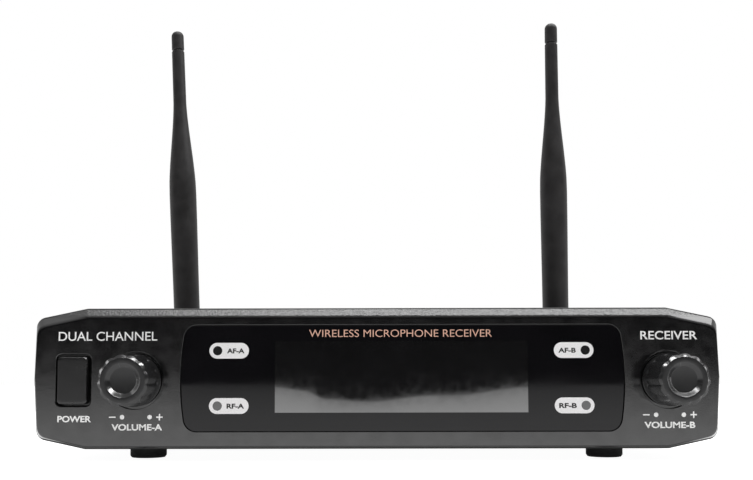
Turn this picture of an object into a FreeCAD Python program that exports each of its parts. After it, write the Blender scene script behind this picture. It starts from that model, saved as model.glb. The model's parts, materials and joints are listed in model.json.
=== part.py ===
import FreeCAD, Part
import math
import os
from types import SimpleNamespace

import Sketcher
from FreeCAD import Placement, Rotation, Vector

# Half-rack wireless microphone receiver: a moulded case with a bevelled front panel,
# two volume knobs, a push button, a display behind a smoked window, and two folding
# whip antennas on the rear panel. Millimetres, +Z up, the front faces -Y.

doc = FreeCAD.newDocument("WirelessReceiver")

SIZES = {
    # case
    "case_width": 210.0, "case_height": 43.0, "case_depth": 130.0, "case_wall": 2.0,
    "shoulder_run": 16.0, "shoulder_drop": 3.25, "side_draft": 0.5, "base_draft": 1.1, "case_corner": 3.2,
    "front_y": -69.09, "case_start": 3.6, "vent_width": 1.6, "vent_length": 24.0,
    "vent_pitch": 4.2, "vent_first": 62.0, "vent_centre": 46.0,
    # feet
    "foot_radius": 5.7, "foot_height": 3.4, "foot_x": 72.4, "foot_inset": 17.0, "foot_taper": 0.5,
    # front panel
    "panel_step": 0.4, "bevel_depth": 3.2, "bevel_top": 2.3, "bevel_side": 0.9, "bevel_bottom": 0.6,
    "panel_wall": 2.5, "panel_depth": 10.0, "skirt_wall": 1.8, "fit_gap": 0.2,
    # window and display
    "window_x": 7.8, "window_width": 134.4, "window_height": 32.2, "window_bow": 1.6,
    "window_corner": 4.0, "window_recess": 1.4, "window_sink": 0.2, "window_gap": 0.25,
    "display_x": 7.5, "display_width": 77.0, "display_height": 22.6, "display_rim": 3.0,
    # indicator lamps
    "lamp_a_x": -48.2, "lamp_b_x": 63.2, "lamp_z": 8.35, "lamp_radius": 1.5,
    # knobs and potentiometers
    "knob_a_x": -73.3, "knob_b_x": 88.4, "control_z": -0.55,
    "knob_base_radius": 7.95, "knob_grip_radius": 7.7, "knob_front_radius": 7.4,
    "knob_sink": 0.4, "knob_length": 15.5, "knob_collar": 2.0, "well_radius": 8.8, "well_depth": 1.2,
    "flute_radius": 0.9, "flute_centre": 8.2,
    "dish_depth": 1.0, "dish_floor": 3.9, "dish_rim": 5.0,
    "flute_turn_a": 22.5, "flute_turn_b": 12.5,
    "pot_shaft_radius": 3.0, "pot_bush_radius": 3.5, "running_gap": 0.05,
    # power button and switch
    "button_x": -91.9, "button_width": 9.1, "button_height": 14.3, "button_out": 1.4,
    "button_gap": 0.67, "button_travel": 2.5, "plunger_side": 3.0,
    # circuit boards
    "board_thick": 1.6, "control_board_y": 7.0, "main_board_x": 80.0, "main_board_z": 11.4,
    "main_board_front": 16.0, "main_board_back": 112.0,
    # fasteners
    "screw_radius": 1.45, "screw_head_radius": 2.8, "screw_head": 2.0,
    "case_screw_x": 86.0, "case_screw_front": 28.0, "case_screw_back": 108.0,
    # rear panel and its sockets
    "rear_panel_y": 126.0, "rear_panel_thick": 1.5, "rear_screw_x": 60.0, "rear_screw_z": 14.5,
    "socket_z": 22.4, "jack_x": 18.0, "jack_bore": 3.25, "jack_bush": 4.9,
    "inlet_x": -32.0, "inlet_bore": 2.85, "inlet_pin": 1.05, "inlet_pin_length": 8.0,
    # antennas
    "antenna_x": 81.9, "antenna_z": 23.4, "hinge_y": 143.0, "lean_a": -3.1, "lean_b": 0.0,
    "fold_a": 2.8, "fold_b": 0.0, "whip_radius": 6.03, "whip_base": 5.7, "whip_thin": 2.95, "whip_start": 7.0,
    "whip_cone_start": 91.0, "whip_cone_end": 127.0, "whip_end": 153.3, "whip_length": 162.9,
    "tip_radius": 2.83, "tip_round": 2.3, "radiator_radius": 1.4, "bush_radius": 4.0, "hinge_pin_radius": 1.0,
    "tongue_half": 2.3, "fork_slot_half": 2.6, "fork_slot_back": 5.6, "tongue_radius": 5.0,
}

sheet = doc.addObject("Spreadsheet::Sheet", "Sizes")
for row, (alias, value) in enumerate(SIZES.items(), start=1):
    sheet.set(f"A{row}", alias)
    sheet.set(f"B{row}", str(value))
    sheet.setAlias(f"B{row}", alias)
doc.recompute()


class Dim:
    """A length that carries its number and the spreadsheet formula behind it."""

    def __init__(self, number, formula):
        self.number = number
        self.formula = formula

    def __add__(self, other):
        return join(self, "+", other, lambda a, b: a + b)

    def __radd__(self, other):
        return join(other, "+", self, lambda a, b: a + b)

    def __sub__(self, other):
        return join(self, "-", other, lambda a, b: a - b)

    def __rsub__(self, other):
        return join(other, "-", self, lambda a, b: a - b)

    def __mul__(self, other):
        return join(self, "*", other, lambda a, b: a * b)

    def __rmul__(self, other):
        return join(other, "*", self, lambda a, b: a * b)

    def __truediv__(self, other):
        return join(self, "/", other, lambda a, b: a / b)

    def __neg__(self):
        return 0 - self


def as_dim(value):
    return value if isinstance(value, Dim) else Dim(float(value), f"({value:.9g})")


def join(left, sign, right, work):
    left, right = as_dim(left), as_dim(right)
    return Dim(work(left.number, right.number), f"({left.formula} {sign} {right.formula})")


d = SimpleNamespace(**{alias: Dim(value, f"Sizes.{alias}") for alias, value in SIZES.items()})

# Places that many pieces share.
BASE_Z = d.foot_height
TOP_Z = BASE_Z + d.case_height
MID_Z = BASE_Z + d.case_height / 2
CONTROL_Z = MID_Z + d.control_z
BACK_Y = d.front_y + d.case_depth


def depth(value):
    """A distance behind the front face, as a place along Y."""
    return d.front_y + value


def depths(near, far):
    """A stretch along Y between two distances behind the front face."""
    return depth(near), depth(far)


def both_ways(half):
    return (-half, half)


def around(centre, half):
    return (centre - half, centre + half)


# ---------------------------------------------------------------- tools: primitives

ALONG = {"X": Rotation(Vector(0, 1, 0), 90), "Y": Rotation(Vector(1, 0, 0), -90), "Z": Rotation()}
pieces = []


def bind(thing, prop, value):
    thing.setExpression(prop, as_dim(value).formula)


def put(thing, x, y, z, rotation=Rotation()):
    places = [as_dim(value) for value in (x, y, z)]
    thing.Placement = Placement(Vector(*[place.number for place in places]), rotation)
    for letter, place in zip("xyz", places):
        bind(thing, f"Placement.Base.{letter}", place)
    return thing


def box(name, x, y, z):
    """A block between low and high places along each axis."""
    block = doc.addObject("Part::Box", name)
    for prop, (low, high) in zip(("Length", "Width", "Height"), (x, y, z)):
        bind(block, prop, high - low)
    return put(block, x[0], y[0], z[0])


def rod(name, axis, centre, span, radius):
    """A cylinder along an axis; centre holds its two other coordinates, in X, Y, Z order."""
    bar = doc.addObject("Part::Cylinder", name)
    bind(bar, "Radius", radius)
    bind(bar, "Height", span[1] - span[0])
    start = {"X": (span[0], *centre), "Y": (centre[0], span[0], centre[1]), "Z": (*centre, span[0])}
    return put(bar, *start[axis], ALONG[axis])


def hexagon(name, centre, span, flat_radius):
    """A hexagonal nut blank along Y."""
    nut = doc.addObject("Part::Prism", name)
    nut.Polygon = 6
    bind(nut, "Circumradius", flat_radius * (2 / math.sqrt(3)))
    bind(nut, "Height", span[1] - span[0])
    return put(nut, centre[0], span[0], centre[1], ALONG["Y"])


def ball(name, x, y, z, radius):
    sphere = doc.addObject("Part::Sphere", name)
    bind(sphere, "Radius", radius)
    return put(sphere, x, y, z)


def fuse(name, parts):
    joined = doc.addObject("Part::MultiFuse", name)
    joined.Shapes = parts
    return joined


def cut(name, base, tools):
    result = doc.addObject("Part::Cut", name)
    result.Base = base
    result.Tool = tools[0] if len(tools) == 1 else fuse(f"{name}_tools", tools)
    return result


def group(name, parts):
    """Separate solids that share one node."""
    bundle = doc.addObject("Part::Compound", name)
    bundle.Links = parts
    return bundle


def keep(node, thing):
    """Name a finished piece, so that it is written out."""
    thing.Label = node
    pieces.append(thing)
    return thing


# ---------------------------------------------------------------- tools: sketched bodies


def new_body(node):
    body = doc.addObject("PartDesign::Body", f"{node}_body")
    body.Label = node
    pieces.append(body)
    return body


def origin_part(body, role):
    return next(item for item in body.Origin.OriginFeatures if item.Role == role)


def new_sketch(body, name, role, offset):
    """A sketch on one of the body's own planes; offset runs along that plane's normal."""
    sketch = body.newObject("Sketcher::SketchObject", name)
    sketch.AttachmentSupport = [(origin_part(body, role), "")]
    sketch.MapMode = "FlatFace"
    bind(sketch, "AttachmentOffset.Base.z", offset)
    return sketch


def pin_point(sketch, index, vertex, point):
    """Fix a sketch point at two coordinates from the spreadsheet."""
    for kind, place in zip(("DistanceX", "DistanceY"), point):
        place = as_dim(place)
        number = sketch.addConstraint(Sketcher.Constraint(kind, -1, 1, index, vertex, place.number))
        name = f"{kind}_{index}_{vertex}"
        sketch.renameConstraint(number, name)
        sketch.setExpression(f"Constraints.{name}", place.formula)


def draw_loop(sketch, points, bulges=None):
    """A closed outline. bulges maps an edge's number to the middle point of its arc and its radius."""
    bulges = bulges or {}
    first = sketch.GeometryCount
    count = len(points)
    corners = [Vector(as_dim(u).number, as_dim(v).number, 0) for u, v in points]
    for number in range(count):
        start, end = corners[number], corners[(number + 1) % count]
        if number in bulges:
            middle = Vector(*[as_dim(place).number for place in bulges[number][0]], 0)
            sketch.addGeometry(Part.Arc(start, middle, end), False)
        else:
            sketch.addGeometry(Part.LineSegment(start, end), False)
    flipped = [is_flipped(sketch, first + number, corners[number]) for number in range(count)]
    for number in range(count):
        after = (number + 1) % count
        end_vertex = 1 if flipped[number] else 2
        start_vertex = 2 if flipped[after] else 1
        tie = Sketcher.Constraint("Coincident", first + number, end_vertex, first + after, start_vertex)
        sketch.addConstraint(tie)
    for number in range(count):
        pin_point(sketch, first + number, 2 if flipped[number] else 1, points[number])
    for number, (_, radius) in bulges.items():
        round_to(sketch, first + number, radius)


def is_flipped(sketch, index, start):
    """Arcs always run anticlockwise, so one drawn the other way starts at its far end."""
    return sketch.Geometry[index].StartPoint.distanceToPoint(start) > 1e-6


def round_to(sketch, index, radius):
    number = sketch.addConstraint(Sketcher.Constraint("Radius", index, radius.number))
    sketch.renameConstraint(number, f"radius_{index}")
    sketch.setExpression(f"Constraints.radius_{index}", radius.formula)


def draw_ring(sketch, centre, radius):
    index = sketch.GeometryCount
    middle = Vector(as_dim(centre[0]).number, as_dim(centre[1]).number, 0)
    sketch.addGeometry(Part.Circle(middle, Vector(0, 0, 1), as_dim(radius).number), False)
    pin_point(sketch, index, 3, centre)
    round_to(sketch, index, as_dim(radius))


def draw_rectangle(sketch, u, v):
    draw_loop(sketch, [(u[0], v[0]), (u[1], v[0]), (u[1], v[1]), (u[0], v[1])])


def extrude(body, name, span, draw, kind="Pad"):
    """Pad or pocket an outline in the XZ plane from span[0] back to span[1] along +Y."""
    sketch = new_sketch(body, f"{name}_sketch", "XZ_Plane", -as_dim(span[0]))
    draw(sketch)
    feature = body.newObject(f"PartDesign::{kind}", name)
    feature.Profile = sketch
    bind(feature, "Length", span[1] - span[0])
    feature.Reversed = kind == "Pad"
    return feature


def raise_up(body, name, span, draw, kind="Pad"):
    """Pad an outline in the XY plane upwards, or pocket it from span[0] up to span[1]."""
    sketch = new_sketch(body, f"{name}_sketch", "XY_Plane", span[0])
    draw(sketch)
    feature = body.newObject(f"PartDesign::{kind}", name)
    feature.Profile = sketch
    bind(feature, "Length", span[1] - span[0])
    feature.Reversed = kind == "Pocket"
    return feature


def sideways(body, name, half, draw, kind="Pad"):
    """Pad or pocket an outline in the YZ plane, from -half to +half along X."""
    sketch = new_sketch(body, f"{name}_sketch", "YZ_Plane", half if kind == "Pocket" else -half)
    draw(sketch)
    feature = body.newObject(f"PartDesign::{kind}", name)
    feature.Profile = sketch
    bind(feature, "Length", half * 2)
    return feature


def revolve(body, name, role, profile, kind="Revolution"):
    """Turn a profile, drawn in the XY or XZ plane, about that plane's upright axis."""
    sketch = new_sketch(body, f"{name}_sketch", role, 0)
    draw_loop(sketch, profile)
    feature = body.newObject(f"PartDesign::{kind}", name)
    feature.Profile = sketch
    feature.ReferenceAxis = (sketch, ["V_Axis"])
    feature.Angle = 360
    return feature


def round_edges(body, name, radius, chosen, kind="Fillet"):
    doc.recompute()
    base = body.Tip
    names = [f"Edge{n}" for n, edge in enumerate(base.Shape.Edges, start=1) if chosen(edge)]
    feature = body.newObject(f"PartDesign::{kind}", name)
    feature.Base = (base, names)
    bind(feature, "Radius" if kind == "Fillet" else "Size", radius)
    return feature


def runs_along_y(edge):
    box_of = edge.BoundBox
    return box_of.YLength > 0.5 and box_of.XLength < 1e-4 and box_of.ZLength < 1e-4


def lies_in_y(edge, place):
    return edge.BoundBox.YLength < 1e-4 and abs(edge.BoundBox.YMin - place.number) < 1e-4


# ---------------------------------------------------------------- the case


def case_outline(inset, top=0.0, side=0.0, bottom=0.0):
    """The eight-sided section of the case, drawn in by inset and by more on chosen sides."""
    half = d.case_width / 2 - inset - side
    high_corner, low_corner = half - d.side_draft, half - d.base_draft
    bend = d.case_width / 2 - d.shoulder_run - side
    high, low = TOP_Z - inset - top, BASE_Z + inset + bottom
    drop = d.shoulder_drop
    right = [(bend, low), (low_corner, low + drop), (half, MID_Z), (high_corner, high - drop), (bend, high)]
    left = [(-x, z) for x, z in reversed(right)]
    return right + left


def half_shell(upper):
    """The section of one case half: a shallow channel, open towards the other half."""
    outer, inner = case_outline(0), case_outline(d.case_wall)
    if upper:
        return outer[2:8] + list(reversed(inner[2:8]))
    return outer[7:] + outer[:3] + list(reversed(inner[7:] + inner[:3]))


def make_case_half(node, upper):
    body = new_body(node)
    extrude(body, f"{node}_shell", (depth(d.case_start), BACK_Y),
            lambda sketch: draw_loop(sketch, half_shell(upper)))
    level = TOP_Z - d.shoulder_drop if upper else BASE_Z + d.shoulder_drop
    draft = d.side_draft if upper else d.base_draft
    corner_x = d.case_width.number / 2 - draft.number

    def is_outer_corner(edge):
        box_of = edge.BoundBox
        near_side = abs(abs(box_of.XMin) - corner_x) < 0.01
        return runs_along_y(edge) and near_side and abs(box_of.ZMin - level.number) < 0.01

    round_edges(body, f"{node}_corners", d.case_corner, is_outer_corner)
    return body


def screw_posts(body, name, places, span, radius):
    for number, (x, y) in enumerate(places):
        raise_up(body, f"{name}{number}", span, lambda sketch: draw_ring(sketch, (x, y), radius))


def case_screw_places():
    return [(x, depth(y)) for x in both_ways(d.case_screw_x) for y in (d.case_screw_front, d.case_screw_back)]


def board_screw_places():
    half = d.main_board_x - 6
    return [(x, depth(y)) for x in both_ways(half) for y in (d.main_board_front + 6, d.main_board_back - 8)]


POST_JOINT_Z = BASE_Z + 20.0


def make_bottom_case():
    body = make_case_half("bottom_case", upper=False)
    floor = BASE_Z + 0.5
    screw_posts(body, "bottom_post", case_screw_places(), (floor, POST_JOINT_Z), d.screw_head_radius + 1.4)
    screw_posts(body, "board_post", board_screw_places(), (floor, d.main_board_z), 3.0)
    for number, x in enumerate(both_ways(d.rear_screw_x)):
        extrude(body, f"rear_block{number}", (depth(d.rear_panel_y) - 11, depth(d.rear_panel_y)),
                lambda sketch: draw_rectangle(sketch, around(x, 4.0), (floor, MID_Z - d.rear_screw_z + 4)))
    for number, (x, y) in enumerate(case_screw_places()):
        raise_up(body, f"head_hole{number}", (BASE_Z, BASE_Z + 4.0),
                 lambda sketch: draw_ring(sketch, (x, y), d.screw_head_radius + 0.3), "Pocket")
        raise_up(body, f"shank_hole{number}", (BASE_Z + 3.0, POST_JOINT_Z),
                 lambda sketch: draw_ring(sketch, (x, y), d.screw_radius + 0.25), "Pocket")
    for number, (x, y) in enumerate(board_screw_places()):
        raise_up(body, f"board_hole{number}", (BASE_Z + 3.0, d.main_board_z),
                 lambda sketch: draw_ring(sketch, (x, y), d.screw_radius + d.running_gap), "Pocket")
    rear_screw_holes(body, MID_Z - d.rear_screw_z)


def make_top_case():
    body = make_case_half("top_case", upper=True)
    roof = TOP_Z - 0.5
    screw_posts(body, "top_post", case_screw_places(), (POST_JOINT_Z, roof), 3.6)
    for number, x in enumerate(both_ways(d.rear_screw_x)):
        extrude(body, f"rear_block{number}", (depth(d.rear_panel_y) - 11, depth(d.rear_panel_y)),
                lambda sketch: draw_rectangle(sketch, around(x, 4.0), (MID_Z + d.rear_screw_z - 4, roof)))
    for number, (x, y) in enumerate(case_screw_places()):
        raise_up(body, f"pilot_hole{number}", (POST_JOINT_Z, POST_JOINT_Z + 14.0),
                 lambda sketch: draw_ring(sketch, (x, y), d.screw_radius + d.running_gap), "Pocket")
    rear_screw_holes(body, MID_Z + d.rear_screw_z)
    for side, x in zip("ab", both_ways(d.vent_centre)):
        along_x, along_y = around(x, d.vent_length / 2), around(depth(d.vent_first), d.vent_width / 2)
        slot = raise_up(body, f"vent_{side}", (TOP_Z - d.case_wall, TOP_Z),
                        lambda sketch: draw_rectangle(sketch, along_x, along_y), "Pocket")
        repeat = body.newObject("PartDesign::LinearPattern", f"vents_{side}")
        repeat.Originals = [slot]
        repeat.Direction = (origin_part(body, "Y_Axis"), [""])
        repeat.Occurrences = 10
        bind(repeat, "Length", d.vent_pitch * 9)
        body.Tip = repeat


def rear_screw_holes(body, z):
    for number, x in enumerate(both_ways(d.rear_screw_x)):
        extrude(body, f"rear_hole{number}", (depth(d.rear_panel_y) - 9, depth(d.rear_panel_y)),
                lambda sketch: draw_ring(sketch, (x, z), d.screw_radius + d.running_gap), "Pocket")


def make_feet():
    places = {"front": d.foot_inset, "rear": d.case_depth - d.foot_inset}
    for end, inset in places.items():
        for side, x in (("left", -d.foot_x), ("right", d.foot_x)):
            node = f"foot_{end}_{side}"
            body = new_body(node)
            put(body, x, depth(inset), 0)
            wide, narrow = d.foot_radius, d.foot_radius - d.foot_taper
            revolve(body, f"{node}_disc", "XZ_Plane",
                    [(0, 0), (narrow, 0), (wide, d.foot_taper), (wide, d.foot_height), (0, d.foot_height)])


# ---------------------------------------------------------------- front panel

HOLE_POSTS = [(x, z) for x in (-82.7, 79.6) for z in (-12.5, 12.5)]


def window_outline(grow):
    """The window's outline: straight top and bottom, sides bowed outwards."""
    half_x, half_z, bow = d.window_width / 2 + grow - d.window_bow, d.window_height / 2 + grow, d.window_bow
    low_x, high_x = d.window_x - half_x, d.window_x + half_x
    low_z, high_z = MID_Z - half_z, MID_Z + half_z
    radius = (half_z * half_z + bow * bow) / (bow * 2)
    corners = [(low_x, low_z), (high_x, low_z), (high_x, high_z), (low_x, high_z)]
    bulges = {1: ((high_x + bow, MID_Z), radius), 3: ((low_x - bow, MID_Z), radius)}
    return corners, bulges


def draw_window(grow):
    return lambda sketch: draw_loop(sketch, *window_outline(grow))


def make_front_panel():
    body = new_body("front_panel")
    back_outline = case_outline(d.panel_step)
    face_outline = case_outline(d.panel_step, d.bevel_top, d.bevel_side, d.bevel_bottom)
    face = new_sketch(body, "panel_face", "XZ_Plane", -depth(0))
    draw_loop(face, face_outline)
    rim = new_sketch(body, "panel_rim", "XZ_Plane", -depth(d.bevel_depth))
    draw_loop(rim, back_outline)
    bezel = body.newObject("PartDesign::AdditiveLoft", "panel_bezel")
    bezel.Profile = face
    bezel.Sections = [rim]
    bezel.Ruled = True
    skirt = case_outline(d.case_wall + d.fit_gap)
    extrude(body, "panel_skirt", depths(d.bevel_depth, d.panel_depth),
            lambda sketch: draw_loop(sketch, skirt))
    inner = case_outline(d.case_wall + d.fit_gap + d.skirt_wall)
    extrude(body, "panel_hollow", depths(d.panel_wall, d.panel_depth),
            lambda sketch: draw_loop(sketch, inner), "Pocket")
    for number, (x, z) in enumerate(HOLE_POSTS):
        extrude(body, f"panel_post{number}", depths(d.panel_wall - 0.3, d.control_board_y),
                lambda sketch: draw_ring(sketch, (x, MID_Z + z), 3.0))
        extrude(body, f"panel_pilot{number}", depths(d.panel_wall + 0.8, d.control_board_y),
                lambda sketch: draw_ring(sketch, (x, MID_Z + z), d.screw_radius + d.running_gap), "Pocket")
    extrude(body, "window_recess", depths(0, d.window_recess), draw_window(d.window_gap), "Pocket")
    half_x, half_z = d.display_width / 2 + 1, d.display_height / 2 + 1
    through = depths(0, d.panel_wall)
    extrude(body, "display_opening", through,
            lambda sketch: draw_rectangle(sketch, around(d.display_x, half_x), around(MID_Z, half_z)),
            "Pocket")
    for number, (x, z) in enumerate(lamp_places()):
        extrude(body, f"lamp_hole{number}", through,
                lambda sketch: draw_ring(sketch, (x, z), d.lamp_radius + 0.15), "Pocket")
    for number, x in enumerate((d.knob_a_x, d.knob_b_x)):
        extrude(body, f"shaft_hole{number}", through,
                lambda sketch: draw_ring(sketch, (x, CONTROL_Z), d.pot_bush_radius + 0.15), "Pocket")
        extrude(body, f"knob_well{number}", depths(0, d.well_depth),
                lambda sketch: draw_ring(sketch, (x, CONTROL_Z), d.well_radius), "Pocket")
    half_x, half_z = d.button_width / 2 + d.button_gap, d.button_height / 2 + d.button_gap
    extrude(body, "button_opening", through,
            lambda sketch: draw_rectangle(sketch, around(d.button_x, half_x), around(CONTROL_Z, half_z)),
            "Pocket")

    def is_opening_corner(edge):
        box_of = edge.BoundBox
        at_x = abs(abs(box_of.XMin - d.button_x.number) - half_x.number) < 0.01
        return runs_along_y(edge) and at_x and abs(abs(box_of.ZMin - CONTROL_Z.number) - half_z.number) < 0.01

    def is_recess_corner(edge):
        box_of = edge.BoundBox
        wide = d.window_width.number / 2 + d.window_gap.number - d.window_bow.number
        tall = d.window_height.number / 2 + d.window_gap.number
        at_x = abs(abs(box_of.XMin - d.window_x.number) - wide) < 0.01
        return runs_along_y(edge) and at_x and abs(abs(box_of.ZMin - MID_Z.number) - tall) < 0.01

    round_edges(body, "opening_corners", 1.5, is_opening_corner)
    round_edges(body, "recess_corners", d.window_corner + d.window_gap, is_recess_corner)


def lamp_places():
    return [(x, MID_Z + z) for x in (d.lamp_a_x, d.lamp_b_x) for z in (d.lamp_z, -d.lamp_z)]


def make_window_lens():
    body = new_body("window_lens")
    extrude(body, "lens_sheet", depths(d.window_sink, d.window_recess), draw_window(0))
    round_edges(body, "lens_corners", d.window_corner, runs_along_y)


def make_display():
    x, z = d.display_x, MID_Z
    half_x, half_z, rim = d.display_width / 2, d.display_height / 2, d.display_rim
    front, glass, light, back = [depth(value) for value in (2.6, 3.5, 4.6, 6.9)]
    outer = box("frame_plate", around(x, half_x + rim), (front, glass), around(z, half_z + rim))
    hole = box("frame_hole", around(x, half_x), (front - 1, glass + 1), around(z, half_z))
    keep("display_frame", cut("frame_ring", outer, [hole]))
    side_x, side_z = around(x, half_x + 1.5), around(z, half_z + 1.5)
    keep("display_glass", box("glass_block", side_x, (glass, light), side_z))
    keep("display_backlight", box("light_block", side_x, (light, back), side_z))


def make_lamps():
    names = [f"lamp_{kind}_{side}" for side in "ab" for kind in ("audio", "signal")]
    for node, (x, z) in zip(names, lamp_places()):
        radius, tip, rim = d.lamp_radius, d.window_recess + 0.2, 6.2
        dome = ball(f"{node}_dome", x, depth(tip + radius), z, radius)
        stem = rod(f"{node}_stem", "Y", (x, z), depths(tip + radius, rim), radius)
        flange = rod(f"{node}_flange", "Y", (x, z), depths(rim, d.control_board_y), radius + 0.4)
        keep(node, fuse(f"{node}_all", [dome, stem, flange]))


# ---------------------------------------------------------------- knobs, button


def make_volume_control(side, x):
    front, back = depth(d.panel_wall + 0.1), depth(d.control_board_y - 0.1)
    bore = d.pot_shaft_radius + d.running_gap
    block = box(f"pot_block_{side}", around(x, 5.0), (front, back), around(CONTROL_Z, 5.5))
    bush = rod(f"pot_bush_{side}", "Y", (x, CONTROL_Z), (depth(-4.2), front), d.pot_bush_radius)
    hole = rod(f"pot_bore_{side}", "Y", (x, CONTROL_Z), depths(-5, 4.2), bore)
    keep(f"volume_pot_{side}", cut(f"pot_cut_{side}", fuse(f"pot_all_{side}", [block, bush]), [hole]))
    keep(f"volume_shaft_{side}",
         rod(f"shaft_rod_{side}", "Y", (x, CONTROL_Z), depths(-13.4, 4.0), d.pot_shaft_radius))
    nut = hexagon(f"nut_blank_{side}", (x, CONTROL_Z), depths(d.well_depth - 2.2, d.well_depth), 4.9)
    nut_hole = rod(f"nut_bore_{side}", "Y", (x, CONTROL_Z), depths(-3, 2), d.pot_bush_radius + 0.02)
    keep(f"volume_nut_{side}", cut(f"nut_cut_{side}", nut, [nut_hole]))
    make_knob(side, x, d.flute_turn_a if side == "a" else d.flute_turn_b)


def make_knob(side, x, turn):
    """A fluted knob in its own frame: the panel's face is at Y = 0 and the knob runs to -Y."""
    body = new_body(f"volume_knob_{side}")
    put(body, x, depth(0), CONTROL_Z)
    base, face = d.knob_sink, -d.knob_length
    cavity, cavity_end = 6.4, -5.0
    bore, bore_end = d.pot_shaft_radius + 0.02, -13.6
    grip, front, collar = d.knob_grip_radius, d.knob_front_radius, -d.knob_collar
    profile = [
        (cavity, base), (d.knob_base_radius, base), (d.knob_base_radius, collar),
        (grip, collar - 0.4), (front, face + 0.75), (front - 0.7, face), (d.dish_rim, face),
        (d.dish_floor, face + d.dish_depth), (0, face + d.dish_depth), (0, bore_end),
        (bore, bore_end), (bore, cavity_end), (cavity, cavity_end),
    ]
    revolve(body, f"knob_turned_{side}", "XY_Plane", profile)
    angle = math.radians(turn.number)
    centre = (d.flute_centre * math.cos(angle), d.flute_centre * math.sin(angle))
    flute = extrude(body, f"flute_{side}", (face - 0.5, collar - 0.4),
                    lambda sketch: draw_ring(sketch, centre, d.flute_radius), "Pocket")
    repeat = body.newObject("PartDesign::PolarPattern", f"flutes_{side}")
    repeat.Originals = [flute]
    repeat.Axis = (origin_part(body, "Y_Axis"), [""])
    repeat.Angle = 360
    repeat.Occurrences = 12
    body.Tip = repeat


def make_power_button():
    x, z = d.button_x, CONTROL_Z
    half_x, half_z = d.button_width / 2, d.button_height / 2
    front, flange, back = depth(-d.button_out), depth(d.panel_wall + 0.25), depth(3.7)
    body = new_body("power_button")
    extrude(body, "button_cap", (front, back),
            lambda sketch: draw_rectangle(sketch, around(x, half_x), around(z, half_z)))
    round_edges(body, "button_corners", 1.2, runs_along_y)
    round_edges(body, "button_edge", 0.8, lambda edge: lies_in_y(edge, front))
    extrude(body, "button_flange", (flange, back),
            lambda sketch: draw_rectangle(sketch, around(x, half_x + 1.4), around(z, half_z + 1.4)))
    hollow_x, hollow_z = half_x - 1.4, half_z - 1.4

    def draw_hollow(sketch):
        draw_rectangle(sketch, around(x, hollow_x), around(z, hollow_z))
        draw_rectangle(sketch, around(x, 2.7), around(z, 2.7))

    def draw_socket(sketch):
        draw_rectangle(sketch, around(x, d.plunger_side / 2 + 0.02), around(z, d.plunger_side / 2 + 0.02))

    extrude(body, "button_hollow", (front + 1.6, back), draw_hollow, "Pocket")
    extrude(body, "button_socket", (front + 2.4, back), draw_socket, "Pocket")
    keep("power_switch_plunger", box("plunger_bar", around(x, d.plunger_side / 2), (front + 2.5, depth(13)),
                                     around(z, d.plunger_side / 2)))
    start = depth(d.control_board_y + d.board_thick)
    block = box("switch_block", around(x, 4.0), (start, start + 12), around(z, 4.0))
    bore_half = d.plunger_side / 2 + 0.2
    bore_end = depth(13) + d.button_travel + 0.6
    bore = box("switch_bore", around(x, bore_half), (start - 1, bore_end), around(z, bore_half))
    keep("power_switch_body", cut("switch_cut", block, [bore]))


# ---------------------------------------------------------------- boards and what they carry


def make_control_board():
    front = depth(d.control_board_y)
    back = front + d.board_thick
    half_x = d.case_width / 2 - d.case_wall - d.skirt_wall - 4.5
    board = box("control_board_sheet", both_ways(half_x), (front, back), around(MID_Z, 15.2))
    plunger_hole = box("plunger_slot", around(d.button_x, 2.2), (front - 1, back + 1), around(CONTROL_Z, 2.2))
    through = (front - 1, back + 1)
    holes = [rod(f"control_hole{number}", "Y", (x, MID_Z + z), through, d.screw_radius + 0.2)
             for number, (x, z) in enumerate(HOLE_POSTS)]
    keep("control_board", cut("control_board_cut", board, [plunger_hole] + holes))
    screws = [y_screw(f"panel_screw{number}", (x, MID_Z + z), back, -5.0)
              for number, (x, z) in enumerate(HOLE_POSTS)]
    keep("control_board_screws", group("control_board_screw_set", screws))


def y_screw(name, centre, seat, reach):
    """A pan-head screw along Y; reach is signed, from the seat under the head to the point."""
    shank_span = (seat + reach, seat) if reach < 0 else (seat, seat + reach)
    head_span = (seat, seat + d.screw_head) if reach < 0 else (seat - d.screw_head, seat)
    head = rod(f"{name}_head", "Y", centre, head_span, d.screw_head_radius)
    return fuse(name, [head, rod(f"{name}_shank", "Y", centre, shank_span, d.screw_radius)])


def z_screw(name, centre, seat, reach):
    """The same screw along Z."""
    shank_span = (seat + reach, seat) if reach < 0 else (seat, seat + reach)
    head_span = (seat, seat + d.screw_head) if reach < 0 else (seat - d.screw_head, seat)
    head = rod(f"{name}_head", "Z", centre, head_span, d.screw_head_radius)
    return fuse(name, [head, rod(f"{name}_shank", "Z", centre, shank_span, d.screw_radius)])


def make_main_board():
    low, high = d.main_board_z, d.main_board_z + d.board_thick
    length = depths(d.main_board_front, d.main_board_back)
    blank = box("main_board_sheet", both_ways(d.main_board_x), length, (low, high))
    holes = [rod(f"main_hole{number}", "Z", place, (low - 1, high + 1), d.screw_radius + 0.2)
             for number, place in enumerate(board_screw_places())]
    keep("main_board", cut("main_board_cut", blank, holes))
    screws = [z_screw(f"main_screw{number}", place, high, -6.0)
              for number, place in enumerate(board_screw_places())]
    keep("main_board_screws", group("main_board_screw_set", screws))
    for side, x in zip("ab", both_ways(46.0)):
        can = box(f"can_{side}", around(x, 22.0), depths(70, 100), (high, high + 11))
        hollow = box(f"can_hollow_{side}", around(x, 21.4), depths(70.6, 99.4), (high - 1, high + 10.4))
        keep(f"tuner_shield_{side}", cut(f"can_cut_{side}", can, [hollow]))


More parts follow.
